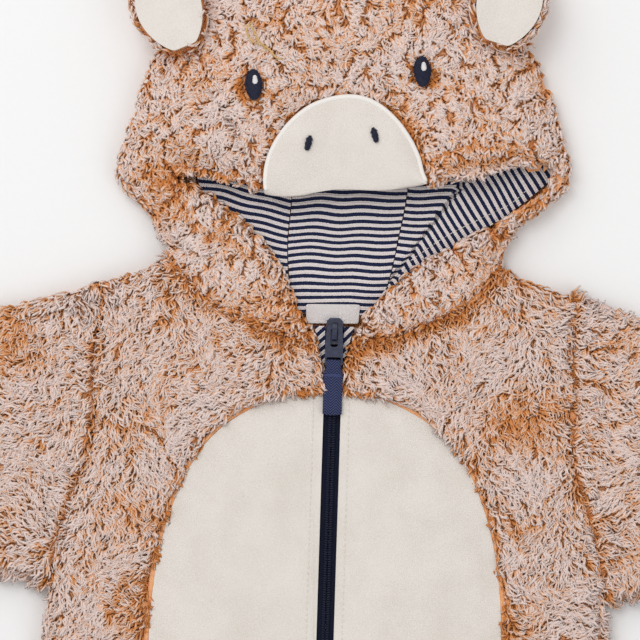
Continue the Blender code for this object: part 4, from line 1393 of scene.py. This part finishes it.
@dataclass
class Wisps:
    """A few loose mustard fibres caught in the pile above the left eye."""

    lines: tuple[Line, ...] = (
        ((-50, 161), (-53.4, 156), (-50.8, 150.5), (-46.5, 148.2)),
        ((-55, 158.5), (-50.5, 157.4), (-47, 151), (-42, 145)),
        ((-46, 149), (-40.5, 145.5), (-36.8, 141.5), (-33.4, 140.4)),
    )
    high: float = 33.2
    finish: ThreadFinish = ThreadFinish("mustard_fibre", tone(214, 170, 92), tone(232, 204, 150), 0.8)

    def build(self) -> None:
        """Makes the fibres as fine bent strands that lie on the pile."""
        strands = []
        for number, line in enumerate(self.lines):
            plan = along_line(to_plan(line), 1.0)
            steps = np.arange(len(plan))
            for k in range(5):
                strands.append(tube(np.column_stack([
                    plan[:, 0] + 0.35 * np.sin(steps * 0.5 + k * 1.7),
                    plan[:, 1] + 0.3 * np.cos(steps * 0.4 + k + number),
                    np.full(len(plan), self.high - 0.25 * k),
                ]), 0.16, 0.14, 4, 0.5))
        dress(join_meshes("mustard_wisps", strands), self.finish.make())


# ---------------------------------------------------------------- the set


@dataclass
class Studio:
    """The pale surface, the soft lights and the camera straight above."""

    floor_side: float = 6.0
    floor_drop: float = 0.0003
    camera_high: float = 2.948
    lens: float = 300.0
    light_side: float = 1.4
    sky: float = 0.68
    lights: ClassVar[tuple[tuple[str, Colour, float], ...]] = (
        ("key_light", (-0.9, 1.3, 1.5), 10.0), ("fill_light", (1.2, -0.6, 1.6), 5.0),
        ("top_light", (-0.8, 1.2, 3.1), 24.0),
    )

    def lay_floor(self) -> None:
        """Adds the surface that the suit lies on."""
        bpy.ops.object.select_all(action="DESELECT")
        bpy.ops.mesh.primitive_plane_add(size=self.floor_side, location=(0, 0, -self.floor_drop))
        floor = bpy.context.object
        floor.name = "pale_surface"
        wiring = Wiring("pale_card", tone(236, 236, 236), 0.95)
        grain = wiring.noise(wiring.where(), 300.0, 2.0)
        wiring.set({"Base Color": wiring.mix(grain, tone(237, 237, 237), tone(235, 235, 235))})
        floor.data.materials.append(wiring.material)

    def light(self) -> None:
        """Adds large soft lights from the upper left, opposite it and far above, and an even sky."""
        for name, place_at, power in self.lights:
            lamp = bpy.data.lights.new(name, "AREA")
            lamp.energy = power
            lamp.size = self.light_side
            holder = add_object(name, lamp)
            holder.location = place_at
            aim = Vector((CLOSE_UP[0] * MM, CLOSE_UP[1] * MM, 0)) - Vector(place_at)
            holder.rotation_euler = aim.to_track_quat("-Z", "Y").to_euler()
        world = bpy.data.worlds.new("soft_sky")
        world.use_nodes = True
        background = world.node_tree.nodes["Background"].inputs
        background[0].default_value = (1, 1, 1, 1)
        background[1].default_value = self.sky
        bpy.context.scene.world = world

    def aim_camera(self) -> None:
        """Puts the camera straight above the middle of the close view."""
        camera = add_object("camera", bpy.data.cameras.new("camera"))
        camera.data.lens = self.lens
        camera.location = (CLOSE_UP[0] * MM, CLOSE_UP[1] * MM, self.camera_high)
        camera.rotation_euler = (0, 0, CLOSE_UP_TURN)
        bpy.context.scene.camera = camera
        bpy.context.scene.view_settings.view_transform = "Standard"

    def build(self) -> None:
        """Sets up the floor, the lights and the camera."""
        self.lay_floor()
        self.light()
        self.aim_camera()


def main() -> None:
    """Builds the dressed pramsuit and its set, and logs each piece."""
    logging.basicConfig(level=logging.INFO, format="%(name)s: %(message)s")
    cream_thread = ThreadFinish("cream_sewing", tone(232, 226, 216), tone(214, 206, 194), 0.6)
    for builder in (Fleece(PileGrower()), Velour(cream_thread), Lining(cream_thread), Zip(), Embroidery(),
                    Wisps(), Studio()):
        builder.build()


if __name__ == "__main__":
    main()
